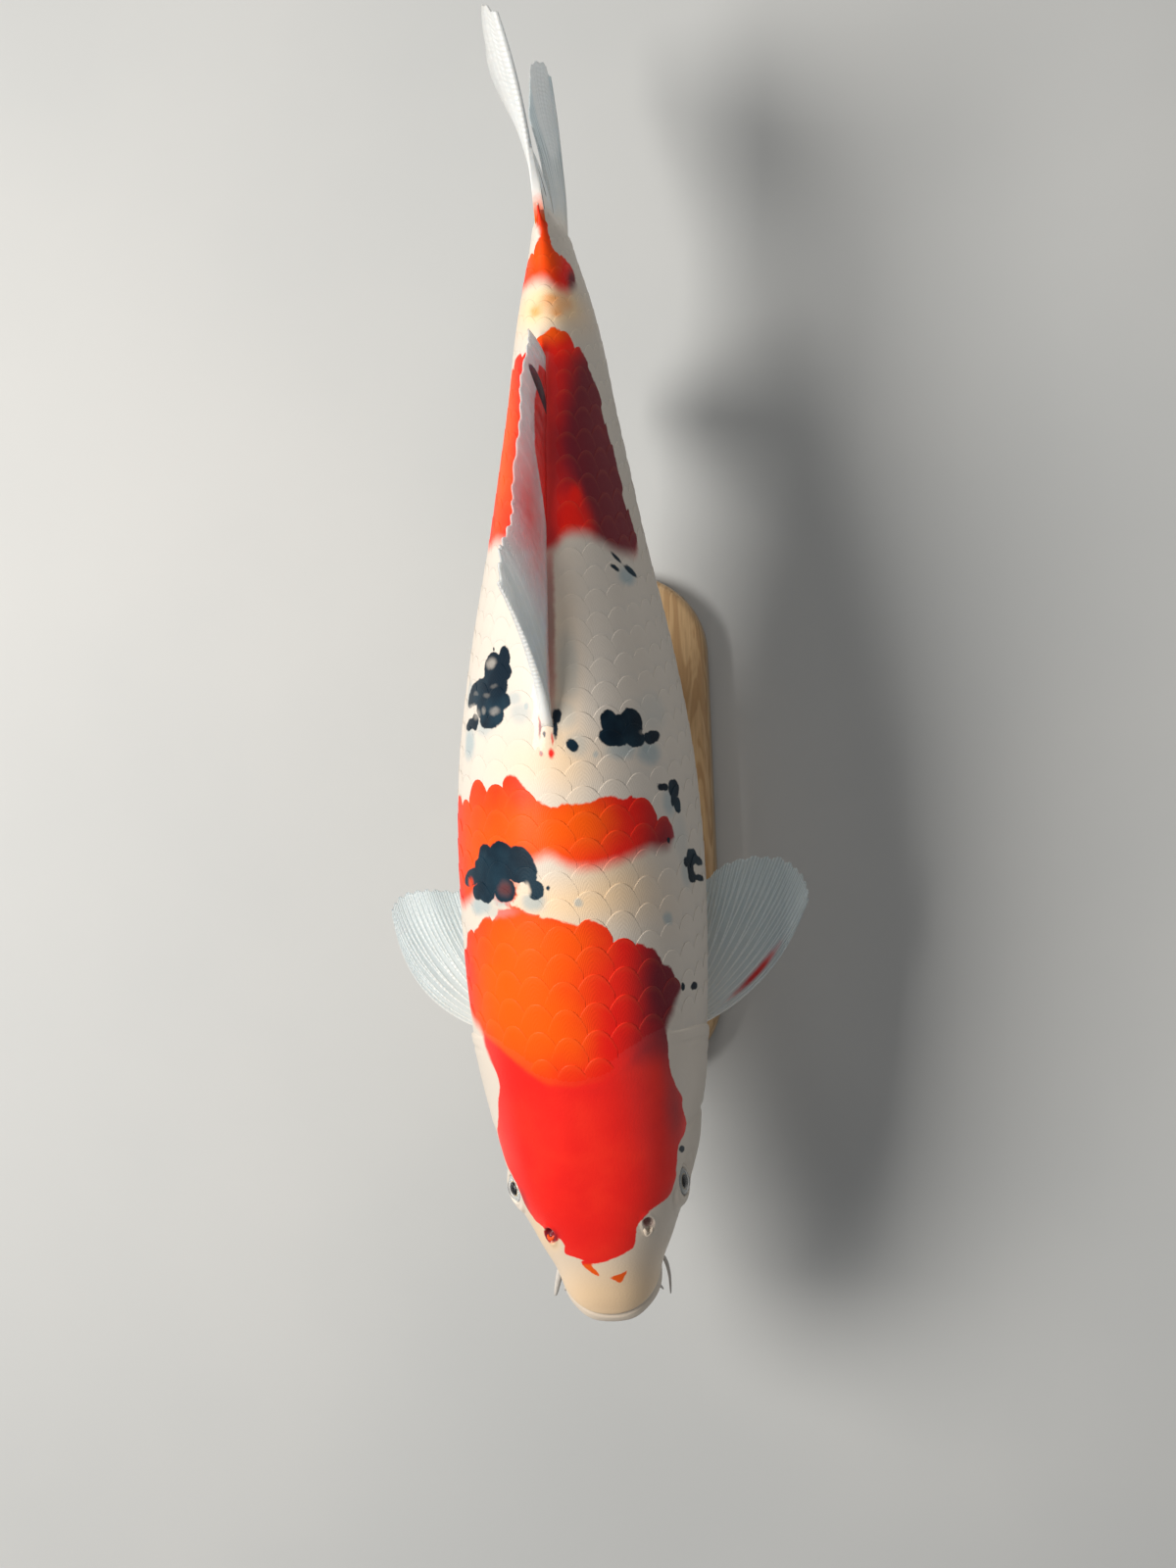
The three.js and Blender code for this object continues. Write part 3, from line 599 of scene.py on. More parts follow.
# Each eye is turned upward and forward in its socket; 1 is the left side and -1 the right.
EYE_UPWARD = {1: math.radians(12), -1: math.radians(33)}
EYE_FORWARD = {1: math.radians(-4), -1: math.radians(9)}
LID_RADIUS = 7.2
BALL_AT_LID = 6.75  # how high the ball stands where the lid meets it
NOSTRILS = {1: (52.5, 27.5), -1: (48, -25)}  # distance from the snout and place round the head
MOUTH_SLIT = np.array([[-1, -17.3], [4, -18], [14, -21.5], [22, -25.4], [28, -28.5]])


def eye_frame(side):
    """An eye's centre, its axis, and two directions across it."""
    centre = place(EYE_AT, side * (EYE_APEX - EYE_RADIUS), EYE_RISE)
    flat, upright = math.cos(EYE_UPWARD[side]), math.sin(EYE_UPWARD[side])
    turn = EYE_FORWARD[side]
    axis = np.array([side * flat * math.cos(turn), -flat * math.sin(turn), upright])
    level = np.cross([0, 0, 1], axis)
    level /= np.linalg.norm(level)
    return centre, axis, level, np.cross(axis, level)


def wave(x, centre, width):
    """A soft ridge, 1 at its centre."""
    return np.exp(-(((x - centre) / width) ** 2))


def to_curve(points, at, height):
    """Distance to a smooth curve drawn on the side of the head."""
    curve = share(np.asarray(points, float), np.linspace(0, 1, 60))
    gaps = np.hypot(at[:, None] - curve[None, :, 0], height[:, None] - curve[None, :, 1])
    return gaps.min(1)


# Soft swellings and hollows of the head: distance from the snout, height, radii along and up, amount.
SWELLINGS = [
    (90, -26, 15, 14, 1.6), (56, -16, 9, 9, -0.6), (60, 4, 9, 7, 0.7), (78, 18, 12, 6, 0.9),
    (40, -2, 9, 8, 0.5), (104, 18, 14, 9, 0.8), (122, -12, 16, 24, 1.0), (72, -44, 16, 8, 0.8),
    (38, -30, 8, 6, 0.8),
]
CHEEK_EDGE = [[99, 16], [103, 0], [105, -18], [99, -36], [84, -46], [68, -49]]
PLATE_SEAM = [[108, -34], [122, -26], [134, -14], [143, -6]]
RAY_SEAM = [[60, -53], [80, -57], [100, -58], [118, -50]]


def coat_depth(girth):
    """How far the skin lies under the scales' rear edges: they stand out most on the flanks."""
    return 0.2 + 0.26 * ease(35, 80, np.abs(girth))


def slimmer(at, across):
    """How much the right cheek is flatter than the left, which the head's turn stretches, and how much
    the end of the tail stalk thins towards the fin's rays."""
    cheek = 2.6 * wave(at, 98, 27) * ease(0, -30, across)
    stalk_end = 2.0 * ease(536, 549, at) * ease(0, 3, np.abs(across))
    return cheek + stalk_end


def relief(at, angle, point):
    """Millimetres that the skin stands out from the loft, or lies in it."""
    height = point[:, 2] - AXIS_HEIGHT
    across = point[:, 0] - bend(at)
    girth = girth_of(at, angle)
    out = np.zeros(at.shape)
    # the mouth's slit, the lips on both sides of it, and the crease over the upper lip
    over_slit = height - np.interp(at, MOUTH_SLIT[:, 0], MOUTH_SLIT[:, 1])
    lips = 1 - ease(24, 31, at)
    out += lips * (-2.4 * wave(over_slit, 0, 0.75) + 1.1 * wave(over_slit, 4.2, 2.8))
    out += lips * (-0.9 * wave(over_slit, 10.2, 1.2) + 0.9 * wave(over_slit, -2.6, 1.6))
    out += lips * -0.6 * wave(over_slit, -5.6, 1.0)
    out += -0.8 * wave(at, 31, 2.2) * wave(height, -27, 5)
    for s, h, along, up, amount in SWELLINGS:
        out += amount * wave(at, s, along) * wave(height, h, up)
    out -= slimmer(at, across)
    # the seams of the cheek and the gill cover, and the cover's fine rays
    beside = np.flatnonzero(at < 160)
    s, h = at[beside], height[beside]
    for seam, deep, wide in ((CHEEK_EDGE, 0.9, 1.8), (PLATE_SEAM, 0.5, 1.5), (RAY_SEAM, 0.6, 1.3)):
        out[beside] -= deep * wave(to_curve(seam, s, h), 0, wide)
    fan = np.arctan2(h - 8, s - 102)
    plate = ease(106, 114, s) * ease(-3, -9, s - head_edge(girth[beside])) * ease(34, 22, h)
    out[beside] += 0.10 * np.sin(fan * 46 + 2 * np.sin(fan * 9)) * plate
    # the gill opening, and the step down to the skin that lies under the scales
    beyond = at - head_edge(girth)
    gill = ease(50, 70, np.abs(girth))
    rim = 0.8 * ease(-16, -1, beyond) * ease(0.9, -0.6, beyond)
    gap = 0.9 * ease(-0.6, 0.9, beyond) * ease(9, 1.5, beyond)
    out += gill * (rim - gap - 0.45 * wave(beyond, -6.5, 1.2))
    out -= coat_depth(girth) * (gill * ease(-0.5, 2.5, beyond) + (1 - gill) * ease(-2, 12, beyond))
    # two pits and a rim for each nostril, and the flesh round the roots of the breast and back fins
    for s0, g0 in NOSTRILS.values():
        for ahead, long, wide, deep in ((-2.6, 1.3, 1.5, 1.5), (1.2, 2.0, 2.6, 3.4)):
            far = np.hypot((at - s0 - ahead) / long, (girth - g0) / wide)
            out -= deep * np.exp(-(far**4))
        far = np.hypot((at - s0) / 5.0, (girth - g0) / 3.6)
        out += 0.45 * wave(far, 1.0, 0.3)
    out += 1.5 * wave(np.hypot(at - 150, height + 41), 0, 9)
    fin_base = ease(280, 292, at) * (1 - ease(462, 476, at))
    out += fin_base * wave(girth, 0, 4)
    return out


def with_eyelids(point):
    """Draws the skin round each eye to the ball, with a thin rim, and sinks it behind the ball."""
    point = point.copy()
    for side in (1, -1):
        centre, axis, level, upward = eye_frame(side)
        off = point - centre
        high = off @ axis
        x, y = off @ level, off @ upward
        far = np.hypot(x, y)
        near = (far < 17) & (high > 0)
        x, y, far, high = x[near], y[near], far[near], high[near]
        rim = 0.3 * wave(far, LID_RADIUS + 0.7, 0.6) - 0.22 * wave(far, LID_RADIUS + 2.6, 0.9)
        sunk = BALL_AT_LID + np.where(far < LID_RADIUS, -2.6 * ease(LID_RADIUS, LID_RADIUS - 0.8, far), rim)
        hold = 1 - ease(LID_RADIUS + 1.6, 14.0, far)
        new = high + (sunk - high) * hold
        brow = 0.7 * wave(far, 11.0, 1.6) * ease(-2, 6, y)
        crease = -0.5 * wave(far, 13.2, 0.9) * ease(0, 6, y)
        point[near] += np.outer(new - high + (brow + crease), axis)
    return point


SKIN_SIDES, SKIN_RINGS = 168, 300
# How the rings are spread, closest on the head: part of their number, then distance from the snout.
RING_PLACES = np.array([[0, 0], [0.015, 0.3], [0.05, 3], [0.12, 13], [0.62, 150], [0.95, 530], [1, END]])


def skin_place(bm):
    """Distance from the snout and angle round the body of every vertex of the flat grid."""
    flat = np.array([v.co for v in bm.verts])
    at = np.interp(flat[:, 1] + 0.5, RING_PLACES[:, 0], RING_PLACES[:, 1])
    return at, flat[:, 0] * 2 * math.pi


def refine(bm, wanted):
    """Divides the faces whose vertices are all wanted into four."""
    bm.verts.ensure_lookup_table()
    faces = [f for f in bm.faces if all(wanted[v.index] for v in f.verts)]
    edges = {e for f in faces for e in f.edges}
    bmesh.ops.subdivide_edges(bm, edges=list(edges), cuts=1, use_grid_fill=True)
    bm.verts.index_update()


# How far from each eye's centre and each nostril the mesh is divided once, and then again.
WIDE_REACH, CLOSE_REACH = (15, 9), (13.5, 7)


def by_eyes_and_nostrils(at, angle, eye_reach, nostril_reach):
    point, girth = flesh(at, angle), girth_of(at, angle)
    near = np.zeros(len(at), bool)
    for side, (s0, g0) in NOSTRILS.items():
        near |= np.linalg.norm(point - eye_frame(side)[0], axis=1) < eye_reach
        near |= np.hypot(at - s0, girth - g0) < nostril_reach
    return near


def by_folds(at, angle):
    height = flesh(at, angle)[:, 2] - AXIS_HEIGHT
    slit = np.abs(height - np.interp(at, MOUTH_SLIT[:, 0], MOUTH_SLIT[:, 1])) < 8
    girth = girth_of(at, angle)
    edge = (np.abs(at - head_edge(girth) + 1) < 5) & (np.abs(girth) > 48)
    return (slit & (at < 32)) | edge | by_eyes_and_nostrils(at, angle, *WIDE_REACH)


def moved(bm, where):
    """Puts each vertex in its place, given in millimetres."""
    for vertex, new_place in zip(bm.verts, where * MM):
        vertex.co = new_place


bm = bmesh.new()
bmesh.ops.create_grid(bm, x_segments=SKIN_SIDES, y_segments=SKIN_RINGS, size=0.5)
refine(bm, by_folds(*skin_place(bm)))
refine(bm, by_eyes_and_nostrils(*skin_place(bm), *CLOSE_REACH))
at, angle = skin_place(bm)
point = flesh(at, angle)
normal = flesh_normal(at, angle)
point = with_eyelids(point + normal * relief(at, angle, point)[:, None])
moved(bm, point)
keys = markings(at, girth_of(at, angle))
over_slit = point[:, 2] - AXIS_HEIGHT - np.interp(at, MOUTH_SLIT[:, 0], MOUTH_SLIT[:, 1])
keys["warm"] *= 1 - 0.8 * (1 - ease(26, 30, at)) * ease(11.5, 9.5, over_slit)  # the lips are whiter
layers = {name: bm.verts.layers.float.new(name) for name in keys}
for name, numbers in keys.items():
    for vertex, number in zip(bm.verts, numbers.tolist()):
        vertex[layers[name]] = number
bmesh.ops.remove_doubles(bm, verts=bm.verts, dist=1e-7)
bmesh.ops.recalc_face_normals(bm, faces=bm.faces)

hide, tree, shader = new_material("koi_hide", Roughness=0.42, Coat_Weight=0.14, Coat_Roughness=0.16,
                                 Specular_IOR_Level=0.35)
spot = places(tree)
cream = blend_of(tree, noise(tree, spot, 16, 3.0), (0.72, 0.63, 0.53, 1), (0.77, 0.71, 0.64, 1))
shaded = pigmented(tree, cream, Sumi=UNMARKED, Rim=0.0)
feed(tree, shader, Base_Color=shaded["Color"])
bumped(tree, shader, noise(tree, spot, 900, 3.0), 0.00012)
skin = finished("skin", bm, hide)
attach(skin, "root")
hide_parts("head", "lower_jaw", "gill_cover_left", "gill_cover_right", "trunk", "tail_stalk")


# ---- the scales ----
# Thin bony plates in slanting rows, each tucked under the ones ahead of it and rounded behind. They
# start at the nape and the gill covers' edges and get smaller towards the tail fin.
ROWS_ON_A_SIDE = 14
PITCHES = np.array([  # distance from the snout, then the length of a scale's bare part
    [100, 13.4], [180, 13.4], [215, 12.9], [255, 12.0], [340, 10.9], [415, 11.4], [470, 9.8], [505, 8.0],
    [560, 5.5],
])
ROW_SHARES = np.array([  # distance from the snout, then the spacing of the rows against half the girth
    [100, 1 / 14], [350, 1 / 14], [415, 1 / 12], [505, 1 / 9.5], [560, 1 / 9],
])
SLANT = 0.22  # how far each row lies behind the one above it, in bare parts
FIRST_TIP = 6.35  # where the row on the ridge starts, in bare parts
OVERLAP = 1.8  # a whole scale against its bare part
SCALE_WIDTH = 0.66  # half a scale's width against the spacing of the rows
SCALES_END = 547
ROUNDNESS = 0.42  # how far a scale's rear corners are drawn forward
TILE = 0.0026  # the patch of the baking map that one scale takes
DORSAL_FIN_FROM, DORSAL_FIN_TO = 288, 466
LATERAL_ROW = 7  # the row that carries the lateral line

# Bare parts run through by each place on the back, so that the tips fall a bare part apart.
STATION_STEP = 0.25
stations = np.arange(90, SCALES_END + 14, STATION_STEP)
row_run = np.concatenate([[0], np.cumsum(STATION_STEP / np.interp(stations, *PITCHES.T))[:-1]])


def body_point(at, part, out=0.0):
    """A point over the skin at a part of the half girth, and so many millimetres off the loft."""
    angle = angle_of(at, part)
    point = flesh(at, angle)
    out = out - slimmer(at, point[..., 0] - bend(at))
    return point + flesh_normal(at, angle) * out[..., None]


def row_share(at):
    """The spacing of the rows against half the girth."""
    return np.interp(at, *ROW_SHARES.T)


def scale_template():
    """One scale as a closed plate: x from -1 to 1 across, y from 0 at its root to 1, z 0 on top."""
    bm = bmesh.new()
    bmesh.ops.create_grid(bm, x_segments=10, y_segments=6, size=1)
    rim = [e for e in bm.edges if e.is_boundary]
    lower = bmesh.ops.extrude_edge_only(bm, edges=rim)["geom"]
    bmesh.ops.translate(bm, verts=[g for g in lower if isinstance(g, bmesh.types.BMVert)], vec=(0, 0, -1))
    bmesh.ops.edgeloop_fill(bm, edges=[g for g in lower if isinstance(g, bmesh.types.BMEdge)])
    bmesh.ops.recalc_face_normals(bm, faces=bm.faces)
    bm.verts.index_update()
    shape = np.array([v.co for v in bm.verts])
    shape[:, 0] = np.sign(shape[:, 0]) * np.interp(np.abs(shape[:, 0]), [0, 0.8, 1], [0, 0.97, 1])
    shape[:, 1] = np.interp(shape[:, 1], [-1, 0.65, 1], [0, 0.97, 1])
    faces = [[v.index for v in f.verts] for f in bm.faces]
    tops = [all(v.co.z == 0 for v in f.verts) for f in bm.faces]
    bm.free()
    return shape, faces, tops


def scale_tips(side):
    """Distance from the snout of every scale's tip on one side of the fish, and the row it is in."""
    found = []
    rows = range(0, ROWS_ON_A_SIDE + 1) if side > 0 else range(1, ROWS_ON_A_SIDE)
    for row in rows:
        starts = np.arange(FIRST_TIP % 1 + SLANT * row % 1, row_run[-1], 1.0)
        for tip in np.interp(starts, row_run, stations):
            pitch = np.interp(tip, *PITCHES.T)
            middle = tip - 0.55 * pitch
            half = half_girth(middle)
            belly_row = row == ROWS_ON_A_SIDE
            part = 1.0 if belly_row else row * row_share(middle)
            past_belly = not belly_row and part + 0.42 * row_share(middle) > 1
            under_fin = row == 0 and DORSAL_FIN_FROM - 4 < middle < DORSAL_FIN_TO + 6
            on_coat = head_edge(part * half) + 0.3 * pitch < middle and tip < SCALES_END
            if on_coat and not past_belly and not under_fin:
                found.append((tip, row))
    return np.array(found)


template, template_faces, template_tops = scale_template()
random = np.random.RandomState(11)

scale_skin, tree, shader = new_material("koi_scales", Roughness=0.5, Coat_Roughness=0.25,
                                       Specular_IOR_Level=0.12)
spot = places(tree)
cream = blend_of(tree, noise(tree, spot, 16, 3.0), (0.72, 0.64, 0.55, 1), (0.77, 0.72, 0.66, 1))
# The tucked front of each scale is greyer: partly the scales' own net, partly painted shade under the scale
# ahead.
rearward = reading(tree, "rearward")
tucked = eased(tree, rearward, 0.42, 0.62, 1.0, 0.0)
net_and_root_shade = blend_of(tree, maths(tree, "MULTIPLY", tucked, 0.12), cream, (0.52, 0.54, 0.55, 1))
rim = eased(tree, rearward, 0.84, 0.97)
shaded = pigmented(tree, net_and_root_shade, Sumi=UNMARKED, Rim=rim)
wet = eased(tree, shaded["Black"], 0.0, 1.0, 0.06, 0.03)
feed(tree, shader, Base_Color=shaded["Color"], Coat_Weight=wet)
rings_on_scale = maths(tree, "SINE", maths(tree, "MULTIPLY", reading(tree, "growth"), 70.0))
pits = noise(tree, spot, 1400, 2.0)
bumped(tree, shader, maths(tree, "MULTIPLY_ADD", rings_on_scale, 0.25, pits), 0.00006)

for side, name in ((1, "scales_left"), (-1, "scales_right")):
    tips = scale_tips(side)
    x, y, z = template.T[:, None, :]
    size = 1 + 0.04 * (random.rand(len(tips), 1) - 0.5)
    lift = 0.02 * (random.rand(len(tips), 1) - 0.5)
    tip, row = tips[:, :1], tips[:, 1:]
    pitch = np.interp(tip, *PITCHES.T)
    length = OVERLAP * pitch
    root = tip - length
    taper = 0.8 + 0.2 * ease(0, 0.4, y)
    rear = y * (1 - ROUNDNESS * np.abs(x) ** 2.3 * ease(0.15, 1, y))
    at = root + length * rear
    across = x * SCALE_WIDTH * size * taper
    own_part = side * (row + across) * row_share(at)
    own_part = np.where(row == ROWS_ON_A_SIDE, 1 + across * row_share(at), own_part)
    deep = coat_depth(own_part * half_girth(at))
    out = -deep - 0.05 + (deep + 0.04 + lift) * rear
    out = out - 0.02 * ease(0.85, 1.0, y) + 0.08 * z * ease(0.0, 0.5, rear) + 0.06 * z
    on_line = (row == LATERAL_ROW) * wave(x, 0, 0.16) * (z == 0)
    out = out + 0.3 * on_line * ease(0.4, 0.6, y) * ease(1.0, 0.85, y)
    at, own_part, out = (a.ravel() for a in np.broadcast_arrays(at, own_part, out))
    point = body_point(at, own_part, out)
    count = len(template)
    faces = [[i * count + v for v in face] for i in range(len(tips)) for face in template_faces]
    mesh = bpy.data.meshes.new(name)
    mesh.from_pydata((point * MM).tolist(), [], faces)
    scales = shown(name, mesh, scale_skin, template_tops * len(tips))

    middle = tip - 0.55 * pitch
    home_part = np.where(row == ROWS_ON_A_SIDE, 1.0, side * row * row_share(middle))
    girth = own_part * half_girth(at)
    own_girth = np.repeat(home_part * half_girth(middle), count, 1).ravel()
    keys = markings(at, girth, np.repeat(middle, count, 1).ravel(), own_girth)
    keys["rearward"] = np.broadcast_to(y, (len(tips), count)).ravel()
    keys["growth"] = np.broadcast_to(np.hypot(x, y - 0.35), (len(tips), count)).ravel()
    carry(scales, keys)

    bake_map = mesh.uv_layers.new(name="OFBake")
    home = np.stack([0.02 + 0.96 * root / END, 0.5 + 0.47 * home_part], -1)
    tile = np.stack([y * TILE, (x + 0.35 * z) * TILE / 2], -1)
    spread = (home + tile).reshape(-1, 2)
    corners = np.empty(len(mesh.loops), int)
    mesh.loops.foreach_get("vertex_index", corners)
    bake_map.data.foreach_set("uv", spread[corners].ravel())
    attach(scales, "root")


# ---- the fins ----
# Clear skin stretched over bony rays, which branch towards the edge and end in separate tips. The
# back and anal fins start with a stout spine. Every fin grows out of the flesh at its root.
# A fin's form is a function of a, 0 to 1 from its first ray to its last, and b, 0 at its root to 1.
def fin_thickness(root, edge, lead):
    return lambda a, b: root * (1 - b) + edge * b + lead * np.clip(1 - 10 * a, 0, None) * (1 - 0.6 * b)


def dorsal(a, b):
    at = DORSAL_FIN_FROM + a * (DORSAL_FIN_TO - DORSAL_FIN_FROM)
    length = share([80, 77, 62, 52, 46, 43, 41, 38, 34, 28, 20], a)
    rise = np.radians(share([27, 27, 26, 24, 22, 20, 18, 16, 13, 10, 7], a)) * (1.12 - 0.24 * b)
    root = section(at)[..., 2] - 4
    lean = -share([15, 15, 14, 12, 11, 10, 9, 8, 8, 7, 6], a) * np.clip(b, 0, None) ** 2.2
    foot = place(at, lean, root + 4 * b + length * b * np.sin(rise))
    return foot + np.stack([0 * a, length * b * np.cos(rise), 0 * a], -1)


def anal(a, b):
    at = 415 + a * 44
    length = share([64, 66, 57, 48, 39, 30], a)
    drop = np.radians(share([50, 47, 42, 36, 30, 24], a)) * (1.1 - 0.25 * b)
    root = section(at)[..., 3] + 4
    foot = place(at, -3 * b * b, root - 4 * b - length * b * np.sin(drop))
    return foot + np.stack([0 * a, length * b * np.cos(drop), 0 * a], -1)


def tail_lobe(up, sweep, power, cup):
    def point(a, b):
        length = 105 * share([0.96, 1, 0.98, 0.91, 0.8, 0.68, 0.58, 0.5, 0.46], a)
        rise = np.radians(share([25, 24, 21, 17, 13, 9, 6, 3, 0], a)) * (1.15 - 0.3 * b)
        reach = length * np.clip(b, 0, None) / 105
        hollow = np.sqrt(np.clip(a, 0, None)) * np.sin(0.8 * math.pi * reach**1.9)
        root = 33 * (1 - a) + 0.15
        side = -sweep * reach**power - cup * hollow
        foot = place(540 + 4 * np.sin(math.pi * a * 0.5), side, up * (root + length * b * np.sin(rise)))
        return foot + np.stack([0 * a, length * b * np.cos(rise), 0 * a], -1)
    return point


def pectoral(side, bow, across, back):
    def point(a, b):
        root = [38 + 5 * a, 139 + 14 * a]
        tip = [share(across, a), share(back, a)]
        reach = np.hypot(tip[0] - root[0], tip[1] - root[1])
        curve = 4 * bow * reach * np.clip(1 - a, 0, None) ** 1.5 * b * (1 - b)
        out, at = (r + (t - r) * b for r, t in zip(root, tip))
        height = AXIS_HEIGHT - 39 - 2 * a - 6 * b * b
        return np.stack([side * (out + 0.75 * curve), SNOUT_Y + at - 0.66 * curve, height], -1)
    return point


def pelvic(side):
    def point(a, b):
        length = share([74, 77, 72, 62, 50, 36], a)
        way = np.stack([0.13 - 0.15 * a, 0.92 + 0 * a, -0.4 + 0.14 * a], -1)
        way /= np.linalg.norm(way, axis=-1, keepdims=True)
        root = np.stack([21 - 10 * a, SNOUT_Y + 268 + 8 * a, AXIS_HEIGHT - 65 + 0 * a], -1)
        curl = (length * b * b)[..., None] * np.array([0, 0.05, 0.09])
        return (root + way * (length * b)[..., None] + curl) * [side, 1, 1]
    return point


def ray_ridge(phase, b, branch_from, broad):
    """Height of the rays, 0 to 1: each one forks into two and then four towards the fin's edge."""
    off = np.abs(phase - np.round(phase))
    first = 0.25 * ease(branch_from, branch_from + 0.5, b)
    second = 0.115 * ease(branch_from + 0.28, branch_from + 0.65, b)
    off = np.abs(np.abs(off - first) - second)
    width = broad - 0.085 * ease(0.0, 0.9, b)
    return np.exp(-((off / width) ** 2))


FIN_SPINES = {"dorsal_fin", "anal_fin"}


def fin(name, point, thickness, rays, grid, notch, branch_from=0.35, broad=0.15, grooved=0.26, seed=1,
        marks=None):
    """One fin as a closed plate: notch is how far its skin stands back between the rays' tips, and
    broad and grooved are the rays' width and how deep the skin lies between them."""
    bm = bmesh.new()
    bmesh.ops.create_grid(bm, x_segments=grid[0], y_segments=grid[1], size=0.5)
    bmesh.ops.solidify(bm, geom=bm.faces, thickness=1)
    flat = np.array([v.co for v in bm.verts])
    a, b = flat[:, 0] + 0.5, flat[:, 1] + 0.5
    face = np.where(np.abs(flat[:, 2]) > 0.5, 1.0, -1.0)
    wander = share(np.random.RandomState(seed).rand(12) - 0.5, a) * 0.5 * b
    phase = a * rays + wander
    ridge = ray_ridge(phase, b, branch_from, broad)
    nearest = np.round(phase)
    stem = wave(phase, nearest, 0.3)
    uneven = np.random.RandomState(seed + 5).rand(rays + 2)[np.clip(nearest.astype(int), 0, rays + 1)]
    shorten = notch * (1 - stem) + 0.35 * notch * uneven + 0.006 * (1 - ridge) * ease(0.8, 1, b)
    reach = 1.05 * b - 0.05
    reach = reach * (1 - shorten * ease(0.55, 1.0, b))
    normal = outward(point, a, reach)
    plate = thickness(a, np.clip(reach, 0, 1))
    spine = ease(0.035, 0.0, a) if name in FIN_SPINES else ease(0.05, 0.0, a) * 0.8
    ridge = np.maximum(ridge, spine)
    half = 0.5 * plate * (1 + 0.1 * spine) - np.minimum(grooved, 0.28 * plate) * (1 - ridge)
    ripple = 0.9 * np.sin(phase * 1.3 + seed) * b**1.5 * (1 - 0.7 * spine)
    where = point(a, reach) + normal * (face * half + ripple)[:, None]
    moved(bm, where)
    bmesh.ops.recalc_face_normals(bm, faces=bm.faces)
    made = finished(name + "_web", bm, fin_skin)
    carry(made, {"ray": ridge, "reach": b, "spine": spine, "hi": UNMARKED, "sumi": UNMARKED, "hi_blur": 0,
                 "tint": 0, "milk_and_light": 0, **(marks(a, b) if marks else {})})
    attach(made, "root")
    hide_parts(name)


fin_skin, tree, shader = new_material("koi_fin", Roughness=0.38, Coat_Weight=0.2, Coat_Roughness=0.2,
                                     Subsurface_Weight=0.7, Subsurface_Scale=0.004,
                                     Subsurface_Radius=(0.9, 1.0, 1.1))
spot = places(tree)
ray, reach, spine = reading(tree, "ray"), reading(tree, "reach"), reading(tree, "spine")
# Cream and solid at the root, clearer and bluer towards the edge. The milky white is where the skin is
# whiter: partly its own milky white, and partly painted light that brightens the back fin and the upper tail
# lobe as if lit and makes a pool of light on the lower lobe.
web = blend_of(tree, reach, (0.76, 0.75, 0.72, 1), (0.44, 0.58, 0.66, 1))
bone = blend_of(tree, reach, (0.80, 0.77, 0.72, 1), (0.62, 0.72, 0.77, 1))
pale = blend_of(tree, ray, web, bone)
milk_and_light = reading(tree, "milk_and_light")
pale = blend_of(tree, milk_and_light, pale, (0.80, 0.83, 0.84, 1))
pale = blend_of(tree, eased(tree, reach, 0.26, 0.04, 0.0, 0.9), pale, (0.84, 0.75, 0.64, 1))
shaded = pigmented(tree, pale, Along=NOWHERE, Round=0.0, Warm=0.0, Rim=0.0)
feed(tree, shader, Base_Color=shaded["Color"])
clear = eased(tree, reach, 0.1, 0.8, 1.0, 0.55)
solid = maths(tree, "MAXIMUM", eased(tree, ray, 0.15, 0.8), spine)
stained = maths(tree, "MAXIMUM", shaded["Red"], shaded["Black"])
opaque = maths(tree, "MAXIMUM", solid, maths(tree, "MAXIMUM", stained, milk_and_light))
thickest = eased(tree, reach, 0.1, 1.0, 1.0, 0.8)
alpha = maths(tree, "MULTIPLY_ADD", maths(tree, "SUBTRACT", thickest, clear), opaque, clear)
feed(tree, shader, Alpha=alpha)
joints = maths(tree, "SINE", maths(tree, "MULTIPLY", reach, 260.0))
joints = maths(tree, "MULTIPLY", joints, maths(tree, "MULTIPLY", ray, eased(tree, reach, 0.25, 0.5)))
bumped(tree, shader, maths(tree, "ADD", joints, noise(tree, spot, 500, 2.0)), 0.0001)


# What each fin's skin carries besides the plain white, as the values that its material reads.
# The back fin's milky white is partly painted light, which brightens its shaded face.
def dorsal_marks(a, b):
    band = 0.1 + 0.57 * ease(0.48, 0.66, a) * ease(1.0, 0.9, a)  # how far up the red of the back reaches
    root = 24 * (band - b) - 4 * ease(0.07, 0.03, a)
    flush = 3.5 * (1 - np.hypot((a - 0.45) / 0.2, (b - 0.7) / 0.5)) - 2.3
    streak = 8 * (1 - np.hypot((a - 0.85) / 0.026, (b - 0.55) / 0.36))
    return {"hi": np.maximum(flush, root), "hi_blur": 0.08 + 0.9 * ease(0.0, 0.1, b - band), "sumi": streak,
            "tint": 0.75 * ease(0.2, 0.08, b) - 0.35 * ease(0.5, 0.66, a), "milk_and_light": 0.75}


def pectoral_left_marks(a, b):
    return {"hi": 4 * (1 - np.hypot((a - 0.13) / 0.036, (b - 0.52) / 0.14)), "hi_blur": 0.6, "tint": -0.5}


# The upper tail lobe's milky white is partly painted light, as if its face were lit.
def upper_lobe_marks(a, b):
    streak = 4 * (1 - np.hypot((a - 0.25 - 0.15 * b) / 0.035, (b - 0.3) / 0.27))
    speck = 3 * (1 - np.hypot((a - 0.62) / 0.05, (b - 0.3) / 0.09))
    ridge_line = 5 * (1 - np.hypot((a - 0.05) / 0.12, (b + 0.05) / 0.2))
    return {"sumi": np.maximum(streak, speck), "hi": ridge_line, "tint": 0.7, "hi_blur": 0.3, "milk_and_light": 0.85}


# The whiter oval on the lower lobe is a painted pool of light.
def lower_lobe_marks(a, b):
    return {"milk_and_light": 0.8 * ease(1.0, 0.75, np.hypot((a - 0.3) / 0.36, (b - 0.78) / 0.36))}


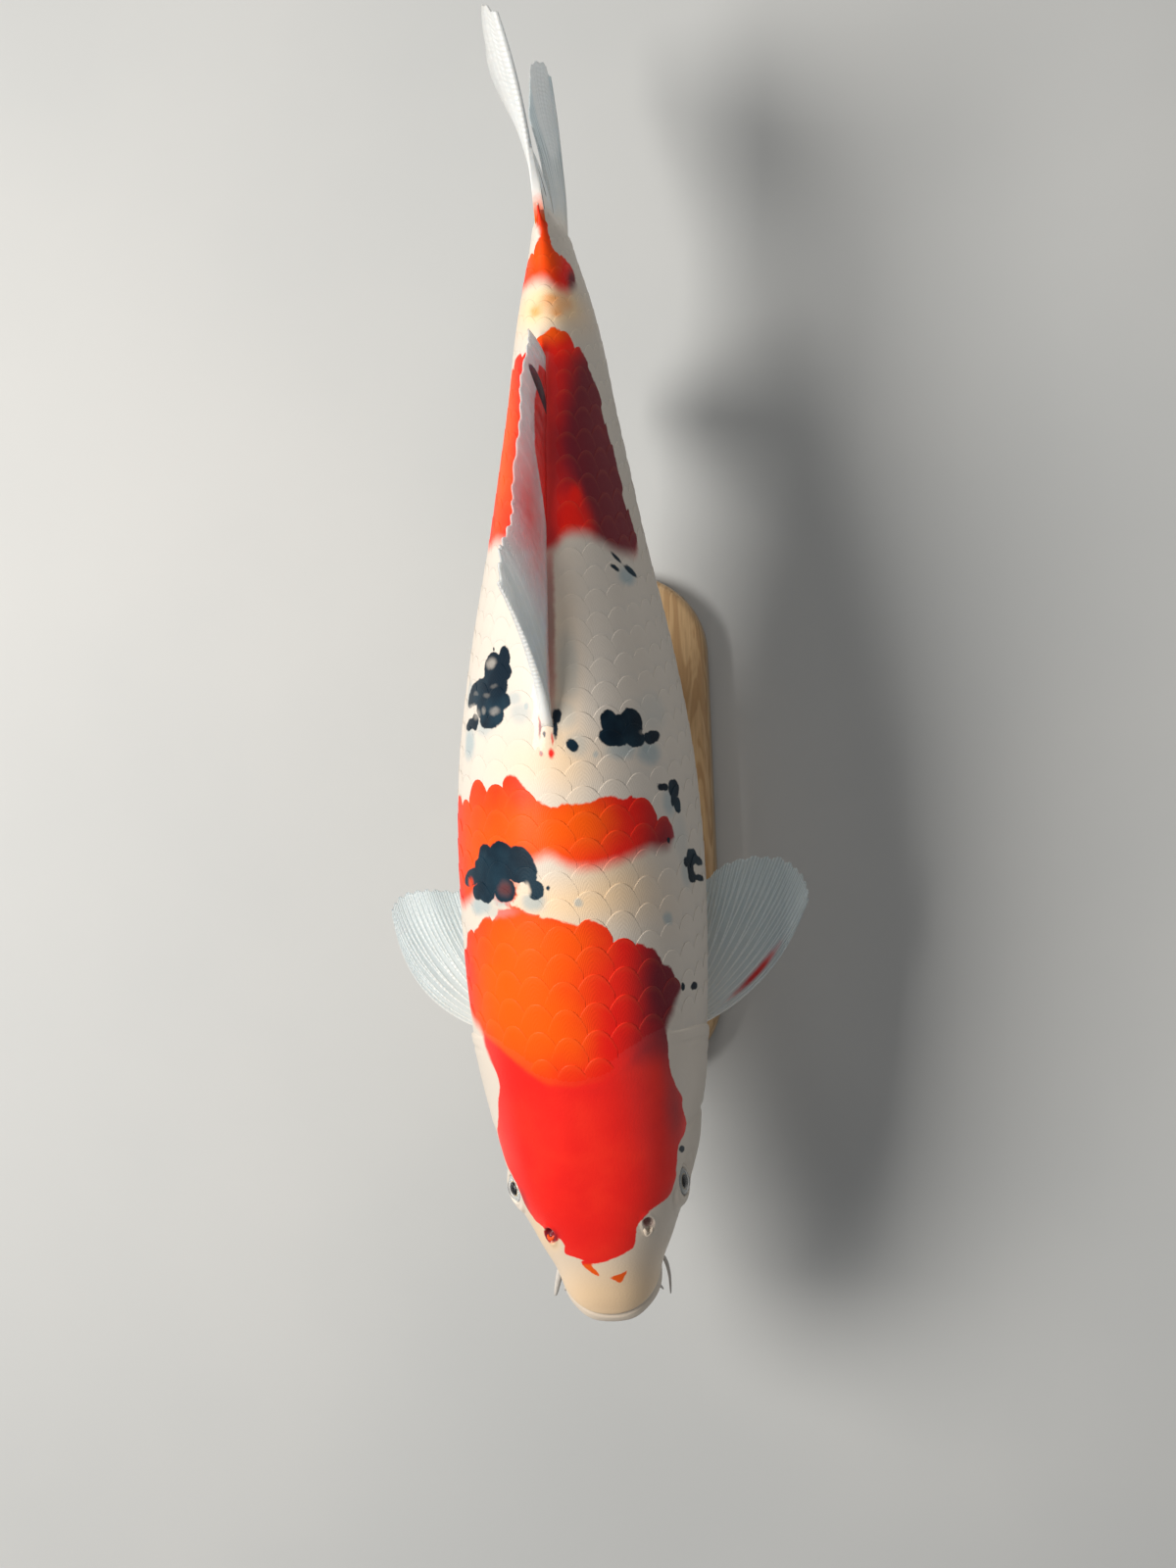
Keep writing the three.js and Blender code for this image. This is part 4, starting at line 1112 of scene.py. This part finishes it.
PECTORAL_FINS = [  # name, side, how far it bows, the edge's places across and along, and its marks
    ("left", 1, 0.12, [106, 107.3, 104.5, 98, 87, 74, 61, 50, 42],
     [203, 210, 218, 225, 228, 227, 222, 210, 192], pectoral_left_marks),
    ("right", -1, 0.185, [107, 107.2, 103.5, 95, 85, 73, 60, 49, 41],
     [203, 209, 215, 217.5, 217.5, 216, 212, 203, 190], None),
]
fin("dorsal_fin", dorsal, fin_thickness(4, 0.8, 1.4), 18, (240, 56), 0.022,
    branch_from=0.75, broad=0.26, grooved=0.07, seed=3, marks=dorsal_marks)
fin("anal_fin", anal, fin_thickness(3.6, 0.8, 1.2), 7, (120, 56), 0.04, seed=4)
fin("tail_fin_upper", tail_lobe(1, 11.5, 2.8, 24), fin_thickness(3.4, 0.8, 1.4), 11, (176, 84), 0.015,
    broad=0.24, grooved=0.14, seed=5, marks=upper_lobe_marks)
fin("tail_fin_lower", tail_lobe(-1, 9, 2, 11), fin_thickness(3.4, 0.8, 1.4), 11, (176, 84), 0.012,
    broad=0.24, grooved=0.14, seed=6, marks=lower_lobe_marks)
for number, (name, side, bow, across, back, marks) in enumerate(PECTORAL_FINS):
    fin(f"pectoral_fin_{name}", pectoral(side, bow, across, back), fin_thickness(3.2, 0.8, 1.2), 16,
        (224, 84), 0.016, seed=7 + number, marks=marks)
    fin(f"pelvic_fin_{name}", pelvic(side), fin_thickness(3, 0.8, 1.2), 9, (128, 64), 0.035, seed=9 + number)


# ---- the eyes ----
# A ball set into the head behind a clear dome: a silvery iris with a thin bronze ring round the pupil,
# and the round black lens that stands out through it. Each profile is a radius and a height.
BALL = [(0, -9.5), (3.6, -8.8), (6.7, -6.7), (8.8, -3.5), (9.45, 0), (9.0, 3.0), (7.9, 5.2), (7.0, 6.3),
        (6.6, 6.55), (6.2, 6.6), (5.2, 6.75), (4.2, 6.95), (3.6, 7.05), (3.4, 7.0), (3.25, 7.25),
        (2.9, 7.75), (2.2, 8.25), (1.2, 8.6), (0, 8.72)]
DOME = [(0, 9.5), (2.4, 9.22), (4.6, 8.3), (6.2, 7.1), (7.1, 6.15), (6.9, 6.05), (6.0, 6.85), (4.4, 8.0),
        (2.3, 8.95), (0, 9.25)]


def spun(profile, steps, closed=False):
    """A profile of radius and height, or a closed one, spun round the upright axis."""
    bm = bmesh.new()
    verts = [bm.verts.new((r, 0, h)) for r, h in profile]
    edges = [bm.edges.new(pair) for pair in zip(verts, verts[1:] + verts[:closed])]
    bmesh.ops.spin(bm, geom=verts + edges, axis=(0, 0, 1), cent=(0, 0, 0), angle=2 * math.pi, steps=steps,
                   use_merge=True)
    bmesh.ops.remove_doubles(bm, verts=bm.verts, dist=1e-6)
    bmesh.ops.recalc_face_normals(bm, faces=bm.faces)
    return bm


def turned(profile, side):
    """A profile spun round an eye's axis, and where its vertices lie across and along that axis."""
    bm = spun(profile, 64)
    local = np.array([v.co for v in bm.verts])
    centre, axis, level, upward = eye_frame(side)
    moved(bm, centre + local @ [level, upward, axis])
    return bm, local


eye_paint, tree, shader = new_material("koi_eye", Roughness=0.25, Coat_Weight=0.2, Coat_Roughness=0.05,
                                      Specular_IOR_Level=0.3)
radius, clock = reading(tree, "radius"), reading(tree, "clock")
streaks = put(tree, "ShaderNodeTexNoise", {"W": clock, "Scale": 9.0, "Detail": 3.0}, noise_dimensions="1D")
streaks = streaks.outputs[0]
silver = blend_of(tree, eased(tree, streaks, 0.35, 0.65), (0.27, 0.29, 0.29, 1), (0.43, 0.43, 0.41, 1))
silver = blend_of(tree, eased(tree, radius, 5.2, 6.5), silver, (0.30, 0.31, 0.32, 1))
silver = blend_of(tree, eased(tree, radius, 4.1, 3.5), silver, (0.45, 0.30, 0.10, 1))
iris = blend_of(tree, eased(tree, radius, 3.55, 3.40), silver, (0.004, 0.004, 0.006, 1))
feed(tree, shader, Base_Color=iris, Metallic=eased(tree, radius, 3.4, 3.7, 0.0, 0.25))
bumped(tree, shader, streaks, 0.0002)

cornea, tree, shader = new_material("koi_cornea", Roughness=0.02, IOR=1.33, Transmission_Weight=1.0)
clear_tint = blend_of(tree, noise(tree, places(tree), 60), (0.98, 0.99, 1.0, 1), (1, 1, 1, 1))
feed(tree, shader, Base_Color=clear_tint)
for side, name in ((1, "left"), (-1, "right")):
    bm, local = turned(BALL, side)
    ball = finished(f"eye_ball_{name}", bm, eye_paint)
    radius_of = np.where(local[:, 2] > 0, np.hypot(local[:, 0], local[:, 1]), 8.0)
    carry(ball, {"radius": radius_of, "clock": np.arctan2(local[:, 1], local[:, 0])})
    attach(ball, "root")
    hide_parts(f"eye_{name}")
    dome = finished(f"eye_dome_{name}", turned(DOME, side)[0], cornea)
    dome.visible_shadow = False
    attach(dome, "root")


# ---- the barbels and the nostrils' flaps ----
# Four soft feelers of flesh grow from the upper lip and the corners of the mouth, and a small curled
# flap of skin stands between the two openings of each nostril.
def tube(name, points, radii, material, sides=20, rings=48, flatten=1.0):
    """A round-ended feeler along a smooth curve, its radius read along the way."""
    bm = bmesh.new()
    bmesh.ops.create_uvsphere(bm, u_segments=sides, v_segments=rings, radius=1)
    ball = np.array([v.co for v in bm.verts])
    t = np.arccos(np.clip(ball[:, 2], -1, 1)) / math.pi
    curve = share(points, t)
    along = share(points, t + 0.01) - share(points, t - 0.01)
    along /= np.linalg.norm(along, axis=1, keepdims=True)
    beside = np.cross([0, 0, 1.0], along)
    beside /= np.linalg.norm(beside, axis=1, keepdims=True)
    over = np.cross(along, beside)
    round_end = np.sqrt(np.clip(1 - (2 * t - 1) ** 16, 0, 1))
    radius = share(radii, t) * round_end
    clock = np.arctan2(ball[:, 1], ball[:, 0])
    where = curve + beside * (radius * np.cos(clock))[:, None]
    where = where + over * (radius * flatten * np.sin(clock))[:, None]
    moved(bm, where)
    bmesh.ops.recalc_face_normals(bm, faces=bm.faces)
    made = finished(name, bm, material)
    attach(made, "root")
    return made


feeler, tree, shader = new_material("koi_feeler", Roughness=0.45, Coat_Weight=0.1, Coat_Roughness=0.2)
spot = places(tree)
ringed = noise(tree, spot, 420, 3.0)
soft_white = blend_of(tree, ringed, (0.55, 0.52, 0.48, 1), (0.75, 0.71, 0.66, 1))
feed(tree, shader, Base_Color=soft_white)
bumped(tree, shader, ringed, 0.0002)
BARBELS = {  # places, radii, and how much each place is turned in on the left and out on the right
    "front": ([[21, 18, -13], [19, 20, -14], [17.5, 23, -16.5], [15, 24.5, -20], [13.5, 24.5, -24]],
              [1.3, 1.0, 0.9, 0.7, 0.4], [0, 0, 0, 0, 0]),
    "rear": ([[35, 20, -25], [32, 22, -26], [28, 25.5, -28], [20, 28, -31], [9, 29.5, -36]],
             [1.9, 1.5, 1.25, 0.95, 0.5], [0, 0, 0, 1, 3]),
}
STOUT, SLIM = 1.9, 0.85  # the right rear barbel is swollen, and the others are thin
FLAPS = {  # places from each nostril's middle: along, beside, and off the skin
    1: [(-1.2, -2.9, -0.6), (-3.0, -1.8, 0.9), (-5.0, -0.2, 0.7), (-3.3, 1.6, 0.7), (-1.4, 2.7, -0.6)],
    -1: [(-0.4, -2.4, -0.5), (-1.2, -1.4, 0.5), (-1.5, 0, 0.9), (-1.1, 1.4, 0.5), (-0.2, 2.4, -0.5)],
}
for side, name in ((1, "left"), (-1, "right")):
    for kind, (rows, radii, splay) in BARBELS.items():
        points = [place(at, side * (across - side * turned_in), height)
                  for (at, across, height), turned_in in zip(rows, splay)]
        stout = STOUT if (kind, side) == ("rear", -1) else SLIM
        barbel = tube(f"feeler_{kind}_{name}", points, np.multiply(radii, stout), feeler)
        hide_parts(f"barbel_{kind}_{name}")
    at, girth = NOSTRILS[side]
    half = half_girth(at)
    along, beside, out = np.array(FLAPS[side], float).T
    flap = body_point(at + along, (girth + side * beside) / half, out)
    curl = tube(f"nostril_flap_{name}", flap, [0.5, 0.8, 0.95, 0.8, 0.5], hide, 16, 32, 0.45)
    carry(curl, {"along": NOWHERE, "hi": 3.0 if side < 0 else UNMARKED, "tint": 0.6, "warm": 0.2})


# ---- the stand ----
# An oiled maple base with rounded ends and softened edges, and two brushed steel rods that are pressed
# into turned collars on it and go up into the belly.
base_low, base_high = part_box("stand_base")
BASE_CORNER, TOP_EDGE, FOOT_EDGE = 0.044, 0.004, 0.0015


def stretched(tree, *scale):
    """The place on a piece, scaled each way, so that a pattern on it is drawn out along the piece."""
    return put(tree, "ShaderNodeMapping", {"Vector": places(tree), "Scale": scale}).outputs[0]


wood, tree, shader = new_material("oiled_maple", Roughness=0.42, Coat_Weight=0.3, Coat_Roughness=0.25)
figure = noise(tree, stretched(tree, 30.0, 2.2, 30.0), 2.2, 4.0, 0.55, 1.2)
growth = maths(tree, "SINE", maths(tree, "MULTIPLY", figure, 46.0))
fibres = noise(tree, stretched(tree, 900.0, 40.0, 900.0), 1.0, 2.0)
grain = blend_of(tree, eased(tree, growth, -1.0, 1.0), (0.46, 0.28, 0.13, 1), (0.62, 0.42, 0.22, 1))
grain = blend_of(tree, eased(tree, fibres, 0.35, 0.7, 0.0, 0.35), grain, (0.36, 0.21, 0.10, 1))
feed(tree, shader, Base_Color=grain)
bumped(tree, shader, fibres, 0.00008)

bm = bmesh.new()
bmesh.ops.create_cube(bm, size=1)
bmesh.ops.scale(bm, verts=bm.verts, vec=base_high - base_low)
bmesh.ops.translate(bm, verts=bm.verts, vec=(base_high + base_low) / 2)


def rounded_off(edges, offset, segments):
    bmesh.ops.bevel(bm, geom=edges, offset=offset, segments=segments, profile=0.5, affect="EDGES",
                    material=-1)


rounded_off([e for e in bm.edges if abs(e.verts[0].co.z - e.verts[1].co.z) > 0.001], BASE_CORNER, 20)
rounded_off([e for e in bm.edges if min(v.co.z for v in e.verts) > base_high.z - 1e-5], TOP_EDGE, 5)
rounded_off([e for e in bm.edges if max(v.co.z for v in e.verts) < 1e-5], FOOT_EDGE, 3)
base = finished("stand_foot", bm, wood)
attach(base, "root")
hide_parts("stand_base")

steel, tree, shader = new_material("brushed_steel", Metallic=1.0)
brushing = noise(tree, stretched(tree, 60.0, 60.0, 3000.0), 1.0, 3.0)
brushed = blend_of(tree, brushing, (0.56, 0.57, 0.58, 1), (0.74, 0.75, 0.76, 1))
feed(tree, shader, Base_Color=brushed, Roughness=eased(tree, brushing, 0.2, 0.8, 0.24, 0.4))
bumped(tree, shader, brushing, 0.00003)


def turned_steel(name, node, radius, bore, edge):
    """A bar or ring of steel in a node's place, with its edges broken."""
    low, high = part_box(node)
    middle = (low + high) / 2
    profile = [(bore, low.z), (radius - edge, low.z), (radius, low.z + edge), (radius, high.z - edge),
               (radius - edge, high.z), (bore, high.z)]
    bm = spun(profile, 48, closed=bore > 0)
    bmesh.ops.translate(bm, verts=bm.verts, vec=(middle.x, middle.y, 0))
    made = finished(name, bm, steel)
    made.modifiers.new("shade", "WEIGHTED_NORMAL")
    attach(made, "root")
    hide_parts(node)


for end in ("front", "rear"):
    turned_steel(f"rod_{end}", f"stand_rod_{end}", 4 * MM, 0, 0.4 * MM)
    turned_steel(f"collar_{end}", f"stand_collar_{end}", 9 * MM, 4.15 * MM, 0.8 * MM)
